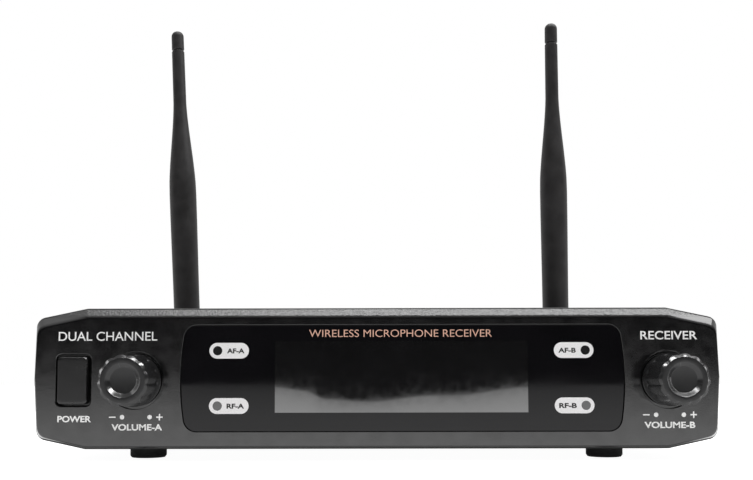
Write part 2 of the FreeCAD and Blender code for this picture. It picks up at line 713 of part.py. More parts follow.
def make_ribbon():
    """The flat cable from the control board down to the main board, with its two sockets."""
    top = d.main_board_z + d.board_thick
    board_back = depth(d.control_board_y + d.board_thick)
    upper = box("upper_socket", both_ways(12.0), (board_back, board_back + 5), (top + 9, top + 14))
    lower = box("lower_socket", both_ways(12.0), depths(30, 35), (top, top + 6))
    keep("ribbon_sockets", group("ribbon_socket_pair", [upper, lower]))
    body = new_body("ribbon_cable")
    thick = 0.8
    start, drop = board_back + 5, top + 11
    bend = depth(32.5)
    outline = [(start, drop), (bend, drop), (bend, top + 6), (bend + thick, top + 6),
               (bend + thick, drop + thick), (start, drop + thick)]
    sideways(body, "ribbon_strip", 10.0, lambda sketch: draw_loop(sketch, outline))


# ---------------------------------------------------------------- rear panel and sockets


def make_rear_panel():
    body = new_body("rear_panel")
    span = depths(d.rear_panel_y, d.rear_panel_y + d.rear_panel_thick)
    inner = case_outline(d.case_wall + d.fit_gap)
    extrude(body, "rear_sheet", span, lambda sketch: draw_loop(sketch, inner))
    holes = [(x, d.antenna_z, d.bush_radius + 0.1) for x in both_ways(d.antenna_x)]
    holes += [(d.jack_x, d.socket_z, d.jack_bush + 0.1), (d.inlet_x, d.socket_z, d.inlet_bore + 1.5)]
    places = [(x, MID_Z + z) for x in both_ways(d.rear_screw_x) for z in both_ways(d.rear_screw_z)]
    holes += [(x, z, d.screw_radius + 0.2) for x, z in places]
    for number, (x, z, radius) in enumerate(holes):
        extrude(body, f"rear_panel_hole{number}", span,
                lambda sketch: draw_ring(sketch, (x, z), radius), "Pocket")
    screws = [y_screw(f"rear_screw{number}", place, span[1], -9.0) for number, place in enumerate(places)]
    keep("rear_panel_screws", group("rear_screw_set", screws))


def make_case_screws():
    screws = [z_screw(f"case_screw{number}", place, BASE_Z + 4.0, 26.0)
              for number, place in enumerate(case_screw_places())]
    keep("case_screws", group("case_screw_set", screws))


def make_output_jack():
    x, z = d.jack_x, d.socket_z
    panel, outside = depth(d.rear_panel_y), depth(d.rear_panel_y + d.rear_panel_thick)
    block = box("jack_block", around(x, 8.0), (panel - 24, panel), (d.main_board_z + d.board_thick, z + 8))
    bush = rod("jack_bush", "Y", (x, z), (panel, outside + 4.5), d.jack_bush)
    bore = rod("jack_bore", "Y", (x, z), (panel - 22, outside + 5.5), d.jack_bore)
    keep("output_jack", cut("jack_cut", fuse("jack_all", [block, bush]), [bore]))
    nut = hexagon("jack_nut_blank", (x, z), (outside, outside + 2.6), 7.0)
    nut_bore = rod("jack_nut_bore", "Y", (x, z), (outside - 1, outside + 4), d.jack_bush + 0.02)
    keep("output_jack_nut", cut("jack_nut_cut", nut, [nut_bore]))


def make_power_inlet():
    x, z = d.inlet_x, d.socket_z
    panel, outside = depth(d.rear_panel_y), depth(d.rear_panel_y + d.rear_panel_thick)
    mouth = outside + 0.6
    block = box("inlet_block", around(x, 4.6), (panel - 12, panel), (d.main_board_z + d.board_thick, z + 5))
    collar = rod("inlet_collar", "Y", (x, z), (panel, mouth), d.inlet_bore + 1.4)
    bore = rod("inlet_bore", "Y", (x, z), (mouth - 10, mouth + 1), d.inlet_bore)
    keep("power_inlet", cut("inlet_cut", fuse("inlet_all", [block, collar]), [bore]))
    end = mouth - 10 + d.inlet_pin_length
    keep("power_inlet_pin", rod("inlet_pin_rod", "Y", (x, z), (mouth - 10, end), d.inlet_pin))


# ---------------------------------------------------------------- antennas

CENTRE = (0, 0)


def make_antenna(side, x, lean, fold):
    """One folding whip. Its turning pieces are drawn about the hinge pin, whip upright, then turned."""
    node = f"antenna_{side}"
    z = d.antenna_z
    inside, outside = depth(d.rear_panel_y), depth(d.rear_panel_y + d.rear_panel_thick)
    end = outside + 6.5
    bush = rod(f"{node}_tube", "Y", (x, z), (inside, end), d.bush_radius)
    flange = rod(f"{node}_flange", "Y", (x, z), (inside - 1.6, inside), d.bush_radius + 1.5)
    keep(f"{node}_bush", fuse(f"{node}_bush_all", [flange, bush]))
    nut = hexagon(f"{node}_nut_blank", (x, z), (outside, outside + 2.3), 5.8)
    nut_bore = rod(f"{node}_nut_bore", "Y", (x, z), (outside - 1, outside + 3), d.bush_radius + 0.02)
    keep(f"{node}_nut", cut(f"{node}_nut_cut", nut, [nut_bore]))
    make_coax(side, x)
    lean_turn = Rotation(Vector(0, 1, 0), lean.number)
    whip_turn = lean_turn.multiply(Rotation(Vector(1, 0, 0), -fold.number))
    hinge = (x, depth(d.hinge_y), z)
    make_swivel(side, hinge, lean_turn)
    pin = rod(f"{node}_pin_rod", "X", CENTRE, both_ways(5.2), d.hinge_pin_radius)
    put(keep(f"{node}_hinge_pin", group(f"{node}_pin_set", [pin])), *hinge, lean_turn)
    make_sleeve(side, hinge, whip_turn)
    core = rod(f"{node}_rod", "Z", CENTRE, (13.0, d.whip_end + 4), d.radiator_radius)
    put(keep(f"{node}_radiator", group(f"{node}_rod_set", [core])), *hinge, whip_turn)
    make_tip(side, hinge, whip_turn)


def make_coax(side, x):
    """The lead from the antenna's bush to its tuner, inside the case."""
    inside = depth(d.rear_panel_y)
    top = d.main_board_z + d.board_thick
    start = Vector(x.number, inside.number - 1.6, d.antenna_z.number)
    sign = 1 if x.number > 0 else -1
    corner = Vector(x.number, depth(118).number, d.antenna_z.number)
    across = Vector(sign * 46.0, depth(118).number, d.antenna_z.number - 3)
    end = Vector(sign * 46.0, depth(101).number, top.number + 6)
    path = Part.BSplineCurve()
    path.interpolate([start, corner + Vector(-sign * 2, 1, 0), (corner + across) * 0.5, across, end])
    ring = Part.Wire([Part.makeCircle(0.9, start, Vector(0, -1, 0))])
    lead = doc.addObject("Part::Feature", f"antenna_{side}_coax_tube")
    lead.Shape = Part.Wire([path.toShape()]).makePipeShell([ring], True, True)
    keep(f"antenna_{side}_coax", lead)


def make_swivel(side, hinge, turn):
    """A drum that turns on the bush and ends in a fork for the hinge pin."""
    node = f"antenna_{side}"
    near = (d.rear_panel_y + d.rear_panel_thick + 2.7) - d.hinge_y
    radius = d.whip_radius
    drum = rod(f"{node}_drum", "Y", CENTRE, (near, 0), radius)
    round_end = rod(f"{node}_round", "X", CENTRE, both_ways(radius + 1), radius)
    long_drum = rod(f"{node}_long", "Y", CENTRE, (near, radius + 1), radius)
    ears = doc.addObject("Part::Common", f"{node}_ears")
    ears.Base = round_end
    ears.Tool = long_drum
    past = radius + 2
    slot = box(f"{node}_slot", both_ways(d.fork_slot_half), (-d.fork_slot_back, past), both_ways(past))
    bush_end = (d.rear_panel_y + d.rear_panel_thick + 6.5) - d.hinge_y
    bore = rod(f"{node}_swivel_bore", "Y", CENTRE, (near - 1, bush_end + 0.3),
               d.bush_radius + d.running_gap)
    pin_hole = rod(f"{node}_pin_hole", "X", CENTRE, both_ways(past), d.hinge_pin_radius + 0.01)
    swivel = cut(f"{node}_swivel_cut", fuse(f"{node}_swivel_all", [drum, ears]), [slot, bore, pin_hole])
    put(keep(f"{node}_swivel", swivel), *hinge, turn)


def make_sleeve(side, hinge, turn):
    body = new_body(f"antenna_{side}_sleeve")
    put(body, *hinge, turn)
    base, wide, thin, bore = d.whip_base, d.whip_radius, d.whip_thin, d.radiator_radius + 0.1
    start, end, cone, cone_end = d.whip_start, d.whip_end, d.whip_cone_start, d.whip_cone_end
    revolve(body, f"sleeve_turned_{side}", "XZ_Plane",
            [(0, start), (base - 0.8, start), (base, start + 0.8), (base, start + 23), (wide, cone - 8),
             (wide - 0.05, cone), (wide - 0.45, cone + 6), (thin + 0.3, cone_end - 6), (thin, cone_end),
             (thin, end), (bore, end), (bore, 12.5), (0, 12.5)])
    half, radius = d.tongue_half, d.tongue_radius
    sideways(body, f"tongue_round_{side}", half, lambda sketch: draw_ring(sketch, (0, 0), radius))
    sideways(body, f"tongue_neck_{side}", half,
             lambda sketch: draw_rectangle(sketch, both_ways(radius), (0, start + 1)))
    sideways(body, f"tongue_hole_{side}", half,
             lambda sketch: draw_ring(sketch, (0, 0), d.hinge_pin_radius + 0.06), "Pocket")


def make_tip(side, hinge, turn):
    body = new_body(f"antenna_{side}_tip")
    put(body, *hinge, turn)
    low, high, radius, bore, bore_end = d.whip_end, d.whip_length, d.tip_radius, d.radiator_radius + 0.1, 4.2
    revolve(body, f"tip_turned_{side}", "XZ_Plane",
            [(0, low + bore_end), (bore, low + bore_end), (bore, low), (radius - 0.5, low),
             (radius - 0.5, low + 0.5), (radius, low + 0.5), (radius, high), (0, high)])
    round_edges(body, f"tip_round_{side}", d.tip_round,
                lambda edge: abs(edge.BoundBox.ZMin - high.number) < 0.01 and edge.Length > 5)


# ---------------------------------------------------------------- build and write out

make_bottom_case()
make_top_case()
make_feet()
make_front_panel()
make_window_lens()
make_display()
make_lamps()
make_volume_control("a", d.knob_a_x)
make_volume_control("b", d.knob_b_x)
make_power_button()
make_control_board()
make_main_board()
make_ribbon()
make_rear_panel()
make_case_screws()
make_output_jack()
make_power_inlet()
make_antenna("a", -d.antenna_x, d.lean_a, d.fold_a)
make_antenna("b", d.antenna_x, d.lean_b, d.fold_b)
doc.recompute()

for item in doc.Objects:
    if "Invalid" in item.State or "Error" in item.State:
        raise RuntimeError(f"{item.Label} did not build: {item.State}")
for piece in pieces:
    if piece.Shape.isNull() or not piece.Shape.isValid():
        raise RuntimeError(f"{piece.Label} has no valid shape")

os.makedirs("parts", exist_ok=True)
for piece in pieces:
    piece.Shape.exportStep(f"parts/{piece.Label}.step")
print(f"{len(pieces)} pieces written")
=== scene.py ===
import json
import math

import bmesh
import bpy
from mathutils import Matrix, Vector
from mathutils.geometry import tessellate_polygon


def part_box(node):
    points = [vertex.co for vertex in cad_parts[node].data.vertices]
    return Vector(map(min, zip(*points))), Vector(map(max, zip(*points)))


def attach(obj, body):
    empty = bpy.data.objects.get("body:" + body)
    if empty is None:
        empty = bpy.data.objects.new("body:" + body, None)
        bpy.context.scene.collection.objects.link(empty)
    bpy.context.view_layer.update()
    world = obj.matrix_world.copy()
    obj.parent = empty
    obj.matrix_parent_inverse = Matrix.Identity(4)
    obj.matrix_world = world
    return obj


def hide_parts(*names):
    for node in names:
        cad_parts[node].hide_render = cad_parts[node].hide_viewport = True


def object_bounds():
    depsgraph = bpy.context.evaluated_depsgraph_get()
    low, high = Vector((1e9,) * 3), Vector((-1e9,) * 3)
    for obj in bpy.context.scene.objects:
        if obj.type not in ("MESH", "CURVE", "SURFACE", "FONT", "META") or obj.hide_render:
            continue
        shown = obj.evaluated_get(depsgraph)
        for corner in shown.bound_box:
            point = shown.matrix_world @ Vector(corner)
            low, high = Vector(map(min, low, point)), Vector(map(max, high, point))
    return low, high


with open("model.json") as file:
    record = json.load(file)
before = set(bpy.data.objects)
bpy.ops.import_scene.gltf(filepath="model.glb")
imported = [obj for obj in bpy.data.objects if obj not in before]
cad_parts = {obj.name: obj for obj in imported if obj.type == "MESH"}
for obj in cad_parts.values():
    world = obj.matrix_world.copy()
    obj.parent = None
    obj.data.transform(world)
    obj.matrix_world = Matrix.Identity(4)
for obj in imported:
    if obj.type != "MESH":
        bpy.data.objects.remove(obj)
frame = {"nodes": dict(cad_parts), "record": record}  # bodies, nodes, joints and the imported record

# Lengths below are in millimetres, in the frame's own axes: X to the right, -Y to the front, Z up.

CAD_BOX = [list(corner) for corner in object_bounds()]
MM = 0.001                                      # a millimetre in Blender's metres
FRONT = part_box("front_panel")[0].y / MM         # the Y of the panel's face
FLOOR_Z = CAD_BOX[0][2] / MM
CASE_LOW, CASE_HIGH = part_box("bottom_case")[0] / MM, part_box("top_case")[1] / MM
MID_Z = (CASE_LOW.z + CASE_HIGH.z) / 2


def middle(node):
    """The middle of a node's box."""
    low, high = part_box(node)
    return (low + high) / 2 / MM


# ------------------------------------------------------------------ materials


# a Mix node's sockets: its factor, A and B inputs and its result
COLOUR_MIX = (0, 6, 7, 2)
NUMBER_MIX = (0, 2, 3, 0)

# the table top's glow: where its painted shadow under the unit ends, where its painted light fades, camera's
# white
PAINTED_SHADOW_EDGE = (-4 * MM, 6 * MM)
PAINTED_LIGHT_FALL = (150 * MM, 1500 * MM)
TABLE_WHITE = 0.97


class Shader:
    """A small helper that wires one Principled material."""

    def __init__(self, name):
        self.material = bpy.data.materials.new(name)
        self.material.use_nodes = True
        self.tree = self.material.node_tree
        self.main = self.tree.nodes["Principled BSDF"]
        self.place = self.node("ShaderNodeTexCoord").outputs["Object"]

    def node(self, kind, **values):
        item = self.tree.nodes.new(kind)
        for key, value in values.items():
            if key in item.inputs:
                item.inputs[key].default_value = value
            else:
                setattr(item, key, value)
        return item

    def link(self, source, target):
        self.tree.links.new(source, target)

    def along(self, axis):
        """The coordinate along one axis, in metres."""
        split = self.node("ShaderNodeSeparateXYZ")
        self.link(self.place, split.inputs[0])
        return split.outputs[axis]

    def maths(self, operation, *values):
        """One Math node, each value a number or another node's output."""
        item = self.node("ShaderNodeMath", operation=operation)
        for socket, value in zip(item.inputs, values):
            if isinstance(value, float):
                socket.default_value = value
            else:
                self.link(value, socket)
        return item.outputs[0]

    def stretched(self, scale):
        """The place scaled by axis, which draws a pattern out along an axis with a small scale."""
        mapping = self.node("ShaderNodeMapping", Scale=scale)
        self.link(self.place, mapping.inputs["Vector"])
        return mapping.outputs["Vector"]

    def noise(self, size, detail=3.0, roughness=0.55, vector=None):
        """Noise whose blobs are about size millimetres across."""
        item = self.node("ShaderNodeTexNoise", Scale=1 / (size * MM), Detail=detail, Roughness=roughness)
        self.link(vector or self.place, item.inputs["Vector"])
        return item.outputs["Fac"]

    def cells(self, size):
        """Cells about size millimetres across, dark at their middles."""
        item = self.node("ShaderNodeTexVoronoi", Scale=1 / (size * MM))
        self.link(self.place, item.inputs["Vector"])
        return item.outputs["Distance"]

    def ramp(self, source, low, high, start=0.3, end=0.7):
        """Map a grey value between start and end onto a pair of numbers or colours."""
        is_colour = isinstance(low, (tuple, list))
        item = self.node("ShaderNodeMix", data_type="RGBA" if is_colour else "FLOAT")
        spread = self.node("ShaderNodeMapRange")
        spread.inputs["From Min"].default_value = start
        spread.inputs["From Max"].default_value = end
        self.link(source, spread.inputs["Value"])
        factor, first, second, result = COLOUR_MIX if is_colour else NUMBER_MIX
        self.link(spread.outputs["Result"], item.inputs[factor])
        item.inputs[first].default_value = (*low, 1) if is_colour else low
        item.inputs[second].default_value = (*high, 1) if is_colour else high
        return item.outputs[result]

    def colour(self, source):
        self.link(source, self.main.inputs["Base Color"])

    def roughness(self, source):
        self.link(source, self.main.inputs["Roughness"])

    def bump(self, heights):
        """Stack bumps: pairs of a height source and a depth in millimetres."""
        normal = None
        for source, depth in heights:
            item = self.node("ShaderNodeBump", Distance=depth * MM, Strength=1.0)
            self.link(source, item.inputs["Height"])
            if normal:
                self.link(normal, item.inputs["Normal"])
            normal = item.outputs["Normal"]
        self.link(normal, self.main.inputs["Normal"])

    def glow_with_painted_shadow(self, under, near, far):
        """A glow strength for the table top: one value under the unit, which is a painted shadow,
        one close round it and one far off, which make a painted pool of light that fades away.

        The camera itself sees it evenly white.
        """
        beyond = [self.maths("SUBTRACT", self.maths("ABSOLUTE", self.along(axis)), half * MM)
                  for axis, half in (("X", CASE_HIGH.x), ("Y", -FRONT))]
        furthest = self.maths("MAXIMUM", *beyond)
        # painted shadow: the glow drops under the unit's footprint; painted light: it fades away from the
        # unit
        painted_shadow = self.ramp(furthest, under, near, *PAINTED_SHADOW_EDGE)
        painted_light_falloff = self.ramp(furthest, 1.0, far / near, *PAINTED_LIGHT_FALL)
        path = self.node("ShaderNodeLightPath")
        seen = self.maths("MULTIPLY", path.outputs["Is Camera Ray"], TABLE_WHITE)
        return self.maths("MAXIMUM", self.maths("MULTIPLY", painted_shadow, painted_light_falloff), seen)

    def fix(self, **values):
        """Set the shader's own sockets, named with underscores for spaces."""
        for key, value in values.items():
            self.main.inputs[key.replace("_", " ")].default_value = value


def tint(colour, factor):
    return tuple(min(1.0, channel * factor) for channel in colour)


PEBBLE_SIZE, PEBBLE_DEPTH = 0.6, 0.24
WORN_EDGES = (0.56, 0.64)       # how pointed an edge is where wear starts and where it is full


def moulded(name, colour, roughness, grain=0.35, depth=0.02, wear=1.6, gloss=0.5, coarse_above=None):
    """Moulded plastic: a fine spark-eroded grain, faint cloudiness, and edges rubbed a little paler.

    Above the height coarse_above the surface is pebbled as well.
    """
    shader = Shader(name)
    cloud = shader.noise(14.0, detail=4.0)
    edge = shader.node("ShaderNodeNewGeometry").outputs["Pointiness"]
    body = shader.ramp(cloud, tint(colour, 0.85), tint(colour, 1.15))
    rubbed = shader.node("ShaderNodeMix", data_type="RGBA")
    factor, first, second, result = COLOUR_MIX
    shader.link(shader.ramp(edge, 0.0, 1.0, *WORN_EDGES), rubbed.inputs[factor])
    shader.link(body, rubbed.inputs[first])
    rubbed.inputs[second].default_value = (*tint(colour, wear), 1)
    shader.colour(rubbed.outputs[result])
    shader.roughness(shader.ramp(shader.noise(5.0), roughness - 0.03, roughness + 0.04))
    heights = [(shader.noise(grain, detail=2.0), depth), (shader.noise(grain * 6), depth * 0.6)]
    if coarse_above:
        band = shader.ramp(shader.along("Z"), 0.0, 1.0, (coarse_above - 0.5) * MM, (coarse_above + 0.5) * MM)
        pebbles = shader.maths("MULTIPLY", band, shader.noise(PEBBLE_SIZE, detail=1.0))
        heights.append((pebbles, PEBBLE_DEPTH))
    shader.bump(heights)
    shader.fix(Specular_IOR_Level=gloss)
    return shader.material


def metal(name, colour, roughness, brushed=(1, 1, 1), metallic=1.0):
    """Plated or bare metal with fine scratches along one way."""
    shader = Shader(name)
    streaks = shader.noise(0.5, detail=4.0, vector=shader.stretched(brushed))
    shader.colour(shader.ramp(shader.noise(4.0), tint(colour, 0.88), tint(colour, 1.1)))
    shader.roughness(shader.ramp(streaks, roughness - 0.07, roughness + 0.1))
    shader.bump([(streaks, 0.004)])
    shader.fix(Metallic=metallic)
    return shader.material


def coated_steel(name, colour, roughness):
    """Powder coat: a pebbled skin over sheet steel."""
    shader = Shader(name)
    shader.colour(shader.ramp(shader.noise(9.0), tint(colour, 0.8), tint(colour, 1.25)))
    shader.roughness(shader.ramp(shader.noise(2.5), roughness - 0.06, roughness + 0.08))
    shader.bump([(shader.noise(0.8, detail=1.0), 0.03), (shader.noise(0.25, detail=2.0), 0.008)])
    return shader.material


def rubber(name, colour, roughness, depth):
    """Elastomer: dull, slightly uneven, with dusty patches."""
    shader = Shader(name)
    dust = shader.noise(7.0, detail=6.0, roughness=0.7)
    shader.colour(shader.ramp(dust, tint(colour, 0.8), tint(colour, 1.35), 0.35, 0.75))
    shader.roughness(shader.ramp(dust, roughness - 0.07, roughness + 0.09))
    shader.bump([(shader.noise(0.3, detail=3.0), depth), (shader.noise(3.0), depth)])
    shader.fix(Specular_IOR_Level=0.3)
    return shader.material


def smoked_acrylic():
    """Gloss black acrylic with faint wiping marks in its polish."""
    shader = Shader("smoked_acrylic")
    wiped = shader.noise(6.0, detail=5.0, vector=shader.stretched((0.25, 1, 1)))
    shader.colour(shader.ramp(shader.noise(20.0), (0.0035, 0.0034, 0.0040), (0.0055, 0.0053, 0.0062)))
    shader.roughness(shader.ramp(wiped, 0.03, 0.07, 0.35, 0.75))
    shader.bump([(shader.noise(45.0, detail=0.0), 0.02)])
    shader.fix(Specular_IOR_Level=0.29)
    return shader.material


def window_film(name, colour, mirror=2.2):
    """The clear openings of the window: a tinted film that mirrors more than the acrylic does."""
    shader = Shader(name)
    shader.colour(shader.ramp(shader.noise(9.0), tint(colour, 0.8), tint(colour, 1.2)))
    shader.roughness(shader.ramp(shader.noise(3.0, detail=5.0), 0.03, 0.08, 0.35, 0.8))
    shader.fix(IOR=mirror, Coat_Weight=1.0, Coat_Roughness=0.02)
    return shader.material


def ink(name, colour):
    """Screen-printed ink: nearly flat, a little starved where the screen lifts."""
    shader = Shader(name)
    shader.colour(shader.ramp(shader.noise(0.35, detail=4.0), tint(colour, 0.88), colour, 0.3, 0.55))
    shader.roughness(shader.ramp(shader.noise(0.5), 0.42, 0.6))
    shader.bump([(shader.noise(0.2), 0.004)])
    return shader.material


def circuit_board():
    """Solder mask over copper tracks, with pads."""
    shader = Shader("circuit_board")
    tracks = shader.node("ShaderNodeTexWave", Scale=260.0, Distortion=6.0, Detail=2.0)
    shader.link(shader.place, tracks.inputs["Vector"])
    shader.colour(shader.ramp(tracks.outputs["Fac"], (0.012, 0.075, 0.03), (0.03, 0.16, 0.06), 0.45, 0.55))
    shader.roughness(shader.ramp(shader.cells(2.0), 0.3, 0.45, 0.1, 0.4))
    shader.bump([(tracks.outputs["Fac"], 0.03)])
    return shader.material


def clear_lamp():
    """The milky clear plastic of an unlit lamp."""
    shader = Shader("lamp_lens")
    shader.colour(shader.ramp(shader.noise(1.0), (0.5, 0.52, 0.5), (0.62, 0.64, 0.62)))
    shader.roughness(shader.ramp(shader.noise(0.8), 0.12, 0.25))
    shader.fix(Transmission_Weight=0.4)
    return shader.material


BLACK = (0.0045, 0.0044, 0.0047)
MATERIALS = {
    "case_plastic": moulded("case_plastic", (0.010, 0.010, 0.0103), 0.36, grain=0.5, depth=0.04, wear=1.0),
    "panel_plastic": moulded("panel_plastic", BLACK, 0.13, grain=0.42, depth=0.005, gloss=0.9,
                             coarse_above=CASE_HIGH.z - 2.6),
    "knob_plastic": moulded("knob_plastic", (0.018, 0.018, 0.0185), 0.18, grain=0.25, depth=0.002, wear=2.0,
                            gloss=0.4),
    "button_plastic": moulded("button_plastic", BLACK, 0.24, grain=0.3, depth=0.005),
    "switch_plastic": moulded("switch_plastic", (0.6, 0.58, 0.52), 0.5, grain=0.3, depth=0.01, wear=1.1),
    "jack_plastic": moulded("jack_plastic", (0.018, 0.018, 0.018), 0.38, grain=0.3, depth=0.008),
    "antenna_joint": moulded("antenna_joint", (0.022, 0.022, 0.023), 0.45, grain=0.3, depth=0.012),
    "lcd_backlight": moulded("lcd_backlight", (0.2, 0.21, 0.2), 0.5, wear=1.1),
    "ribbon_vinyl": moulded("ribbon_vinyl", (0.4, 0.4, 0.41), 0.45, wear=1.1),
    "coax_jacket": moulded("coax_jacket", (0.02, 0.02, 0.02), 0.5),
    "foot_rubber": rubber("foot_rubber", (0.022, 0.022, 0.022), 0.65, 0.02),
    "antenna_rubber": rubber("antenna_rubber", (0.021, 0.0198, 0.0202), 0.40, 0.008),
    "nickel_steel": metal("nickel_steel", (0.62, 0.60, 0.56), 0.24, (1, 1, 12)),
    "pot_metal": metal("pot_metal", (0.55, 0.55, 0.54), 0.32),
    "tin_shield": metal("tin_shield", (0.62, 0.61, 0.59), 0.34, (12, 1, 1)),
    "board_screw_steel": metal("board_screw_steel", (0.6, 0.6, 0.6), 0.28),
    "screw_steel": metal("screw_steel", (0.07, 0.07, 0.072), 0.34, metallic=0.9),
    "lcd_frame_metal": metal("lcd_frame_metal", (0.05, 0.05, 0.05), 0.4, metallic=0.6),
    "bush_brass": metal("bush_brass", (0.60, 0.54, 0.42), 0.28, (1, 12, 1)),
    "radiator_copper": metal("radiator_copper", (0.7, 0.36, 0.2), 0.3),
    "rear_steel": coated_steel("rear_steel", (0.022, 0.022, 0.024), 0.48),
    "smoked_acrylic": smoked_acrylic(),
    "lcd_glass": window_film("window_film", (0.0045, 0.0045, 0.0048)),
    "circuit_board": circuit_board(),
    "lamp_lens": clear_lamp(),
    "white_ink": ink("white_ink", (0.95, 0.95, 0.94)),
    "pale_ink": ink("pale_ink", (0.84, 0.83, 0.83)),
    "black_ink": ink("black_ink", (0.005, 0.005, 0.005)),
    "peach_ink": ink("peach_ink", (0.70, 0.41, 0.31)),
    "lamp_window": window_film("lamp_window", (0.02, 0.02, 0.02), 1.7),
}

SLOT_OF_NODE = {part["node"]: part["material_slot"] for part in frame["record"]["subparts"]}
for node, thing in frame["nodes"].items():
    thing.data.materials.clear()
    thing.data.materials.append(MATERIALS[SLOT_OF_NODE[node]])


# ------------------------------------------------------------------ pieces: shared tools


def body_of(node):
    """The name of the body that a CAD node belongs to."""
    bodies = frame["record"]["behaviour"]["bodies"]
    return next(body for body, nodes in bodies.items() if node in nodes)


def lies_on_front(face):
    """Whether a face is part of the panel's flat front, whose shading must stay flat to its rims."""
    return all(abs(corner.co.y - FRONT) < 1e-3 for corner in face.verts)


def finish_piece(name, shape, look, body, stands_for=(), bevel=None, crisp=35):
    """Turn a bmesh in millimetres into a piece that rides on a body."""
    if not bevel:
        bmesh.ops.recalc_face_normals(shape, faces=shape.faces)
    shape.edges.index_update()
    rims = [edge.index for edge in shape.edges
            if sum(lies_on_front(face) for face in edge.link_faces) == 1]
    data = bpy.data.meshes.new(name)
    shape.to_mesh(data)
    shape.free()
    data.transform(Matrix.Scale(MM, 4))
    data.materials.append(MATERIALS[look])
    data.polygons.foreach_set("use_smooth", [True] * len(data.polygons))
    data.set_sharp_from_angle(angle=math.radians(crisp))
    for number in rims:
        data.edges[number].use_edge_sharp = True
    piece = bpy.data.objects.new(name, data)
    bpy.context.collection.objects.link(piece)
    if bevel:
        edges = piece.modifiers.new("rounded_edges", "BEVEL")
        edges.limit_method = "WEIGHT"
        edges.width = bevel * MM
        edges.segments = 3
        edges.miter_outer = "MITER_ARC"
    shading = piece.modifiers.new("even_shading", "WEIGHTED_NORMAL")
    shading.keep_sharp = True
    shading.weight = 90 if bevel else 50
    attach(piece, body)
    if stands_for:
        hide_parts(*stands_for)
    return piece


def cad_shape(node, cuts):
    """A node's shape as a clean bmesh, its flat faces merged, then divided at each X in cuts."""
    shape = bmesh.new()
    shape.from_mesh(frame["nodes"][node].data)
    shape.transform(Matrix.Scale(1 / MM, 4))
    bmesh.ops.remove_doubles(shape, verts=shape.verts, dist=0.002)
    bmesh.ops.dissolve_limit(shape, angle_limit=math.radians(0.5), verts=shape.verts, edges=shape.edges)
    for x in cuts:
        everything = [*shape.verts, *shape.edges, *shape.faces]
        bmesh.ops.bisect_plane(shape, geom=everything, dist=1e-4, plane_co=(x, 0, 0),
                               plane_no=(1, 0, 0))
    return shape


ROUNDED_FROM = 28               # how many degrees an edge turns before it counts as one


def refined(node, width, share=lambda edge: 1.0, cuts=()):
    """Stand in for a CAD node with the same shape, its edges rounded as a mould or a file leaves them.

    Each edge is rounded by width times what share says of it.
    """
    shape = cad_shape(node, cuts)
    weights = shape.edges.layers.float.new("bevel_weight_edge")
    for edge in shape.edges:
        if len(edge.link_faces) == 2 and edge.calc_face_angle(0) > math.radians(ROUNDED_FROM):
            edge[weights] = share(edge)
    return finish_piece(f"{node}_finished", shape, SLOT_OF_NODE[node], body_of(node), [node], bevel=width)


def arc(x, z, radius, start, end, steps):
    """Points on an arc, angles in degrees counted anticlockwise from +X."""
    turns = [math.radians(start + (end - start) * step / steps) for step in range(steps + 1)]
    return [(x + radius * math.cos(turn), z + radius * math.sin(turn)) for turn in turns]


def smooth(share):
    """Ease a share from 0 to 1 in and out."""
    return share * share * (3 - 2 * share)


def circle(x, z, radius, steps=48):
    return arc(x, z, radius, 0, 360, steps)[:-1]


def rounded_rectangle(x, z, half_x, half_z, radius, steps=6):
    """The outline of a rectangle with round corners."""
    points = []
    for start, side_x, side_z in ((0, 1, 1), (90, -1, 1), (180, -1, -1), (270, 1, -1)):
        centre = (x + side_x * (half_x - radius), z + side_z * (half_z - radius))
        points += arc(*centre, radius, start, start + 90, steps)
    return points


def turned(before, corner, after, radius, steps, limit):
    """A corner turned as an arc would turn it, using no more than a share limit of either side."""
    here = Vector(corner)
    back, ahead = Vector(before) - here, Vector(after) - here
    turn = math.pi - back.angle(ahead)
    if radius <= 0 or turn < 0.01:
        return [here]
    reach = min(radius * math.tan(turn / 2), back.length * limit, ahead.length * limit)
    start, end = here + back.normalized() * reach, here + ahead.normalized() * reach
    return [start * (1 - share) ** 2 + here * 2 * share * (1 - share) + end * share ** 2
            for share in (step / steps for step in range(steps + 1))]


def rounded_polygon(corners, radius):
    """A closed outline with every corner turned."""
    return [tuple(point) for number, corner in enumerate(corners)
            for point in turned(corners[number - 1], corner, corners[(number + 1) % len(corners)],
                                radius, 5, 0.45)]


def rounded(points, radii, steps=4):
    """An open profile with its inner corners turned, each by its own radius."""
    path = [Vector(points[0])]
    for before, corner, after, radius in zip(points, points[1:], points[2:], radii):
        path += turned(before, corner, after, radius, steps, 0.48)
    return path + [Vector(points[-1])]


def ring(shape, outline, depth):
    """Put an outline (X, Z) on a plane behind the panel's face."""
    return [shape.verts.new((x, FRONT + depth, z)) for x, z in outline]


def wall(shape, first, second):
    """Faces between two closed loops with the same number of corners."""
    for step in range(len(first)):
        after = (step + 1) % len(first)
        shape.faces.new((first[step], first[after], second[after], second[step]))


def walls(shape, loops):
    for first, second in zip(loops, loops[1:]):
        wall(shape, first, second)


def cap(shape, outer, holes=()):
    """Close a plane outline, leaving holes open."""
    loops = [outer, *holes]
    corners = [corner for loop in loops for corner in loop]
    for triangle in tessellate_polygon([[corner.co.xzy for corner in loop] for loop in loops]):
        picked = [corners[number] for number in triangle]
        if len(set(picked)) == 3 and not shape.faces.get(picked):
            shape.faces.new(picked)


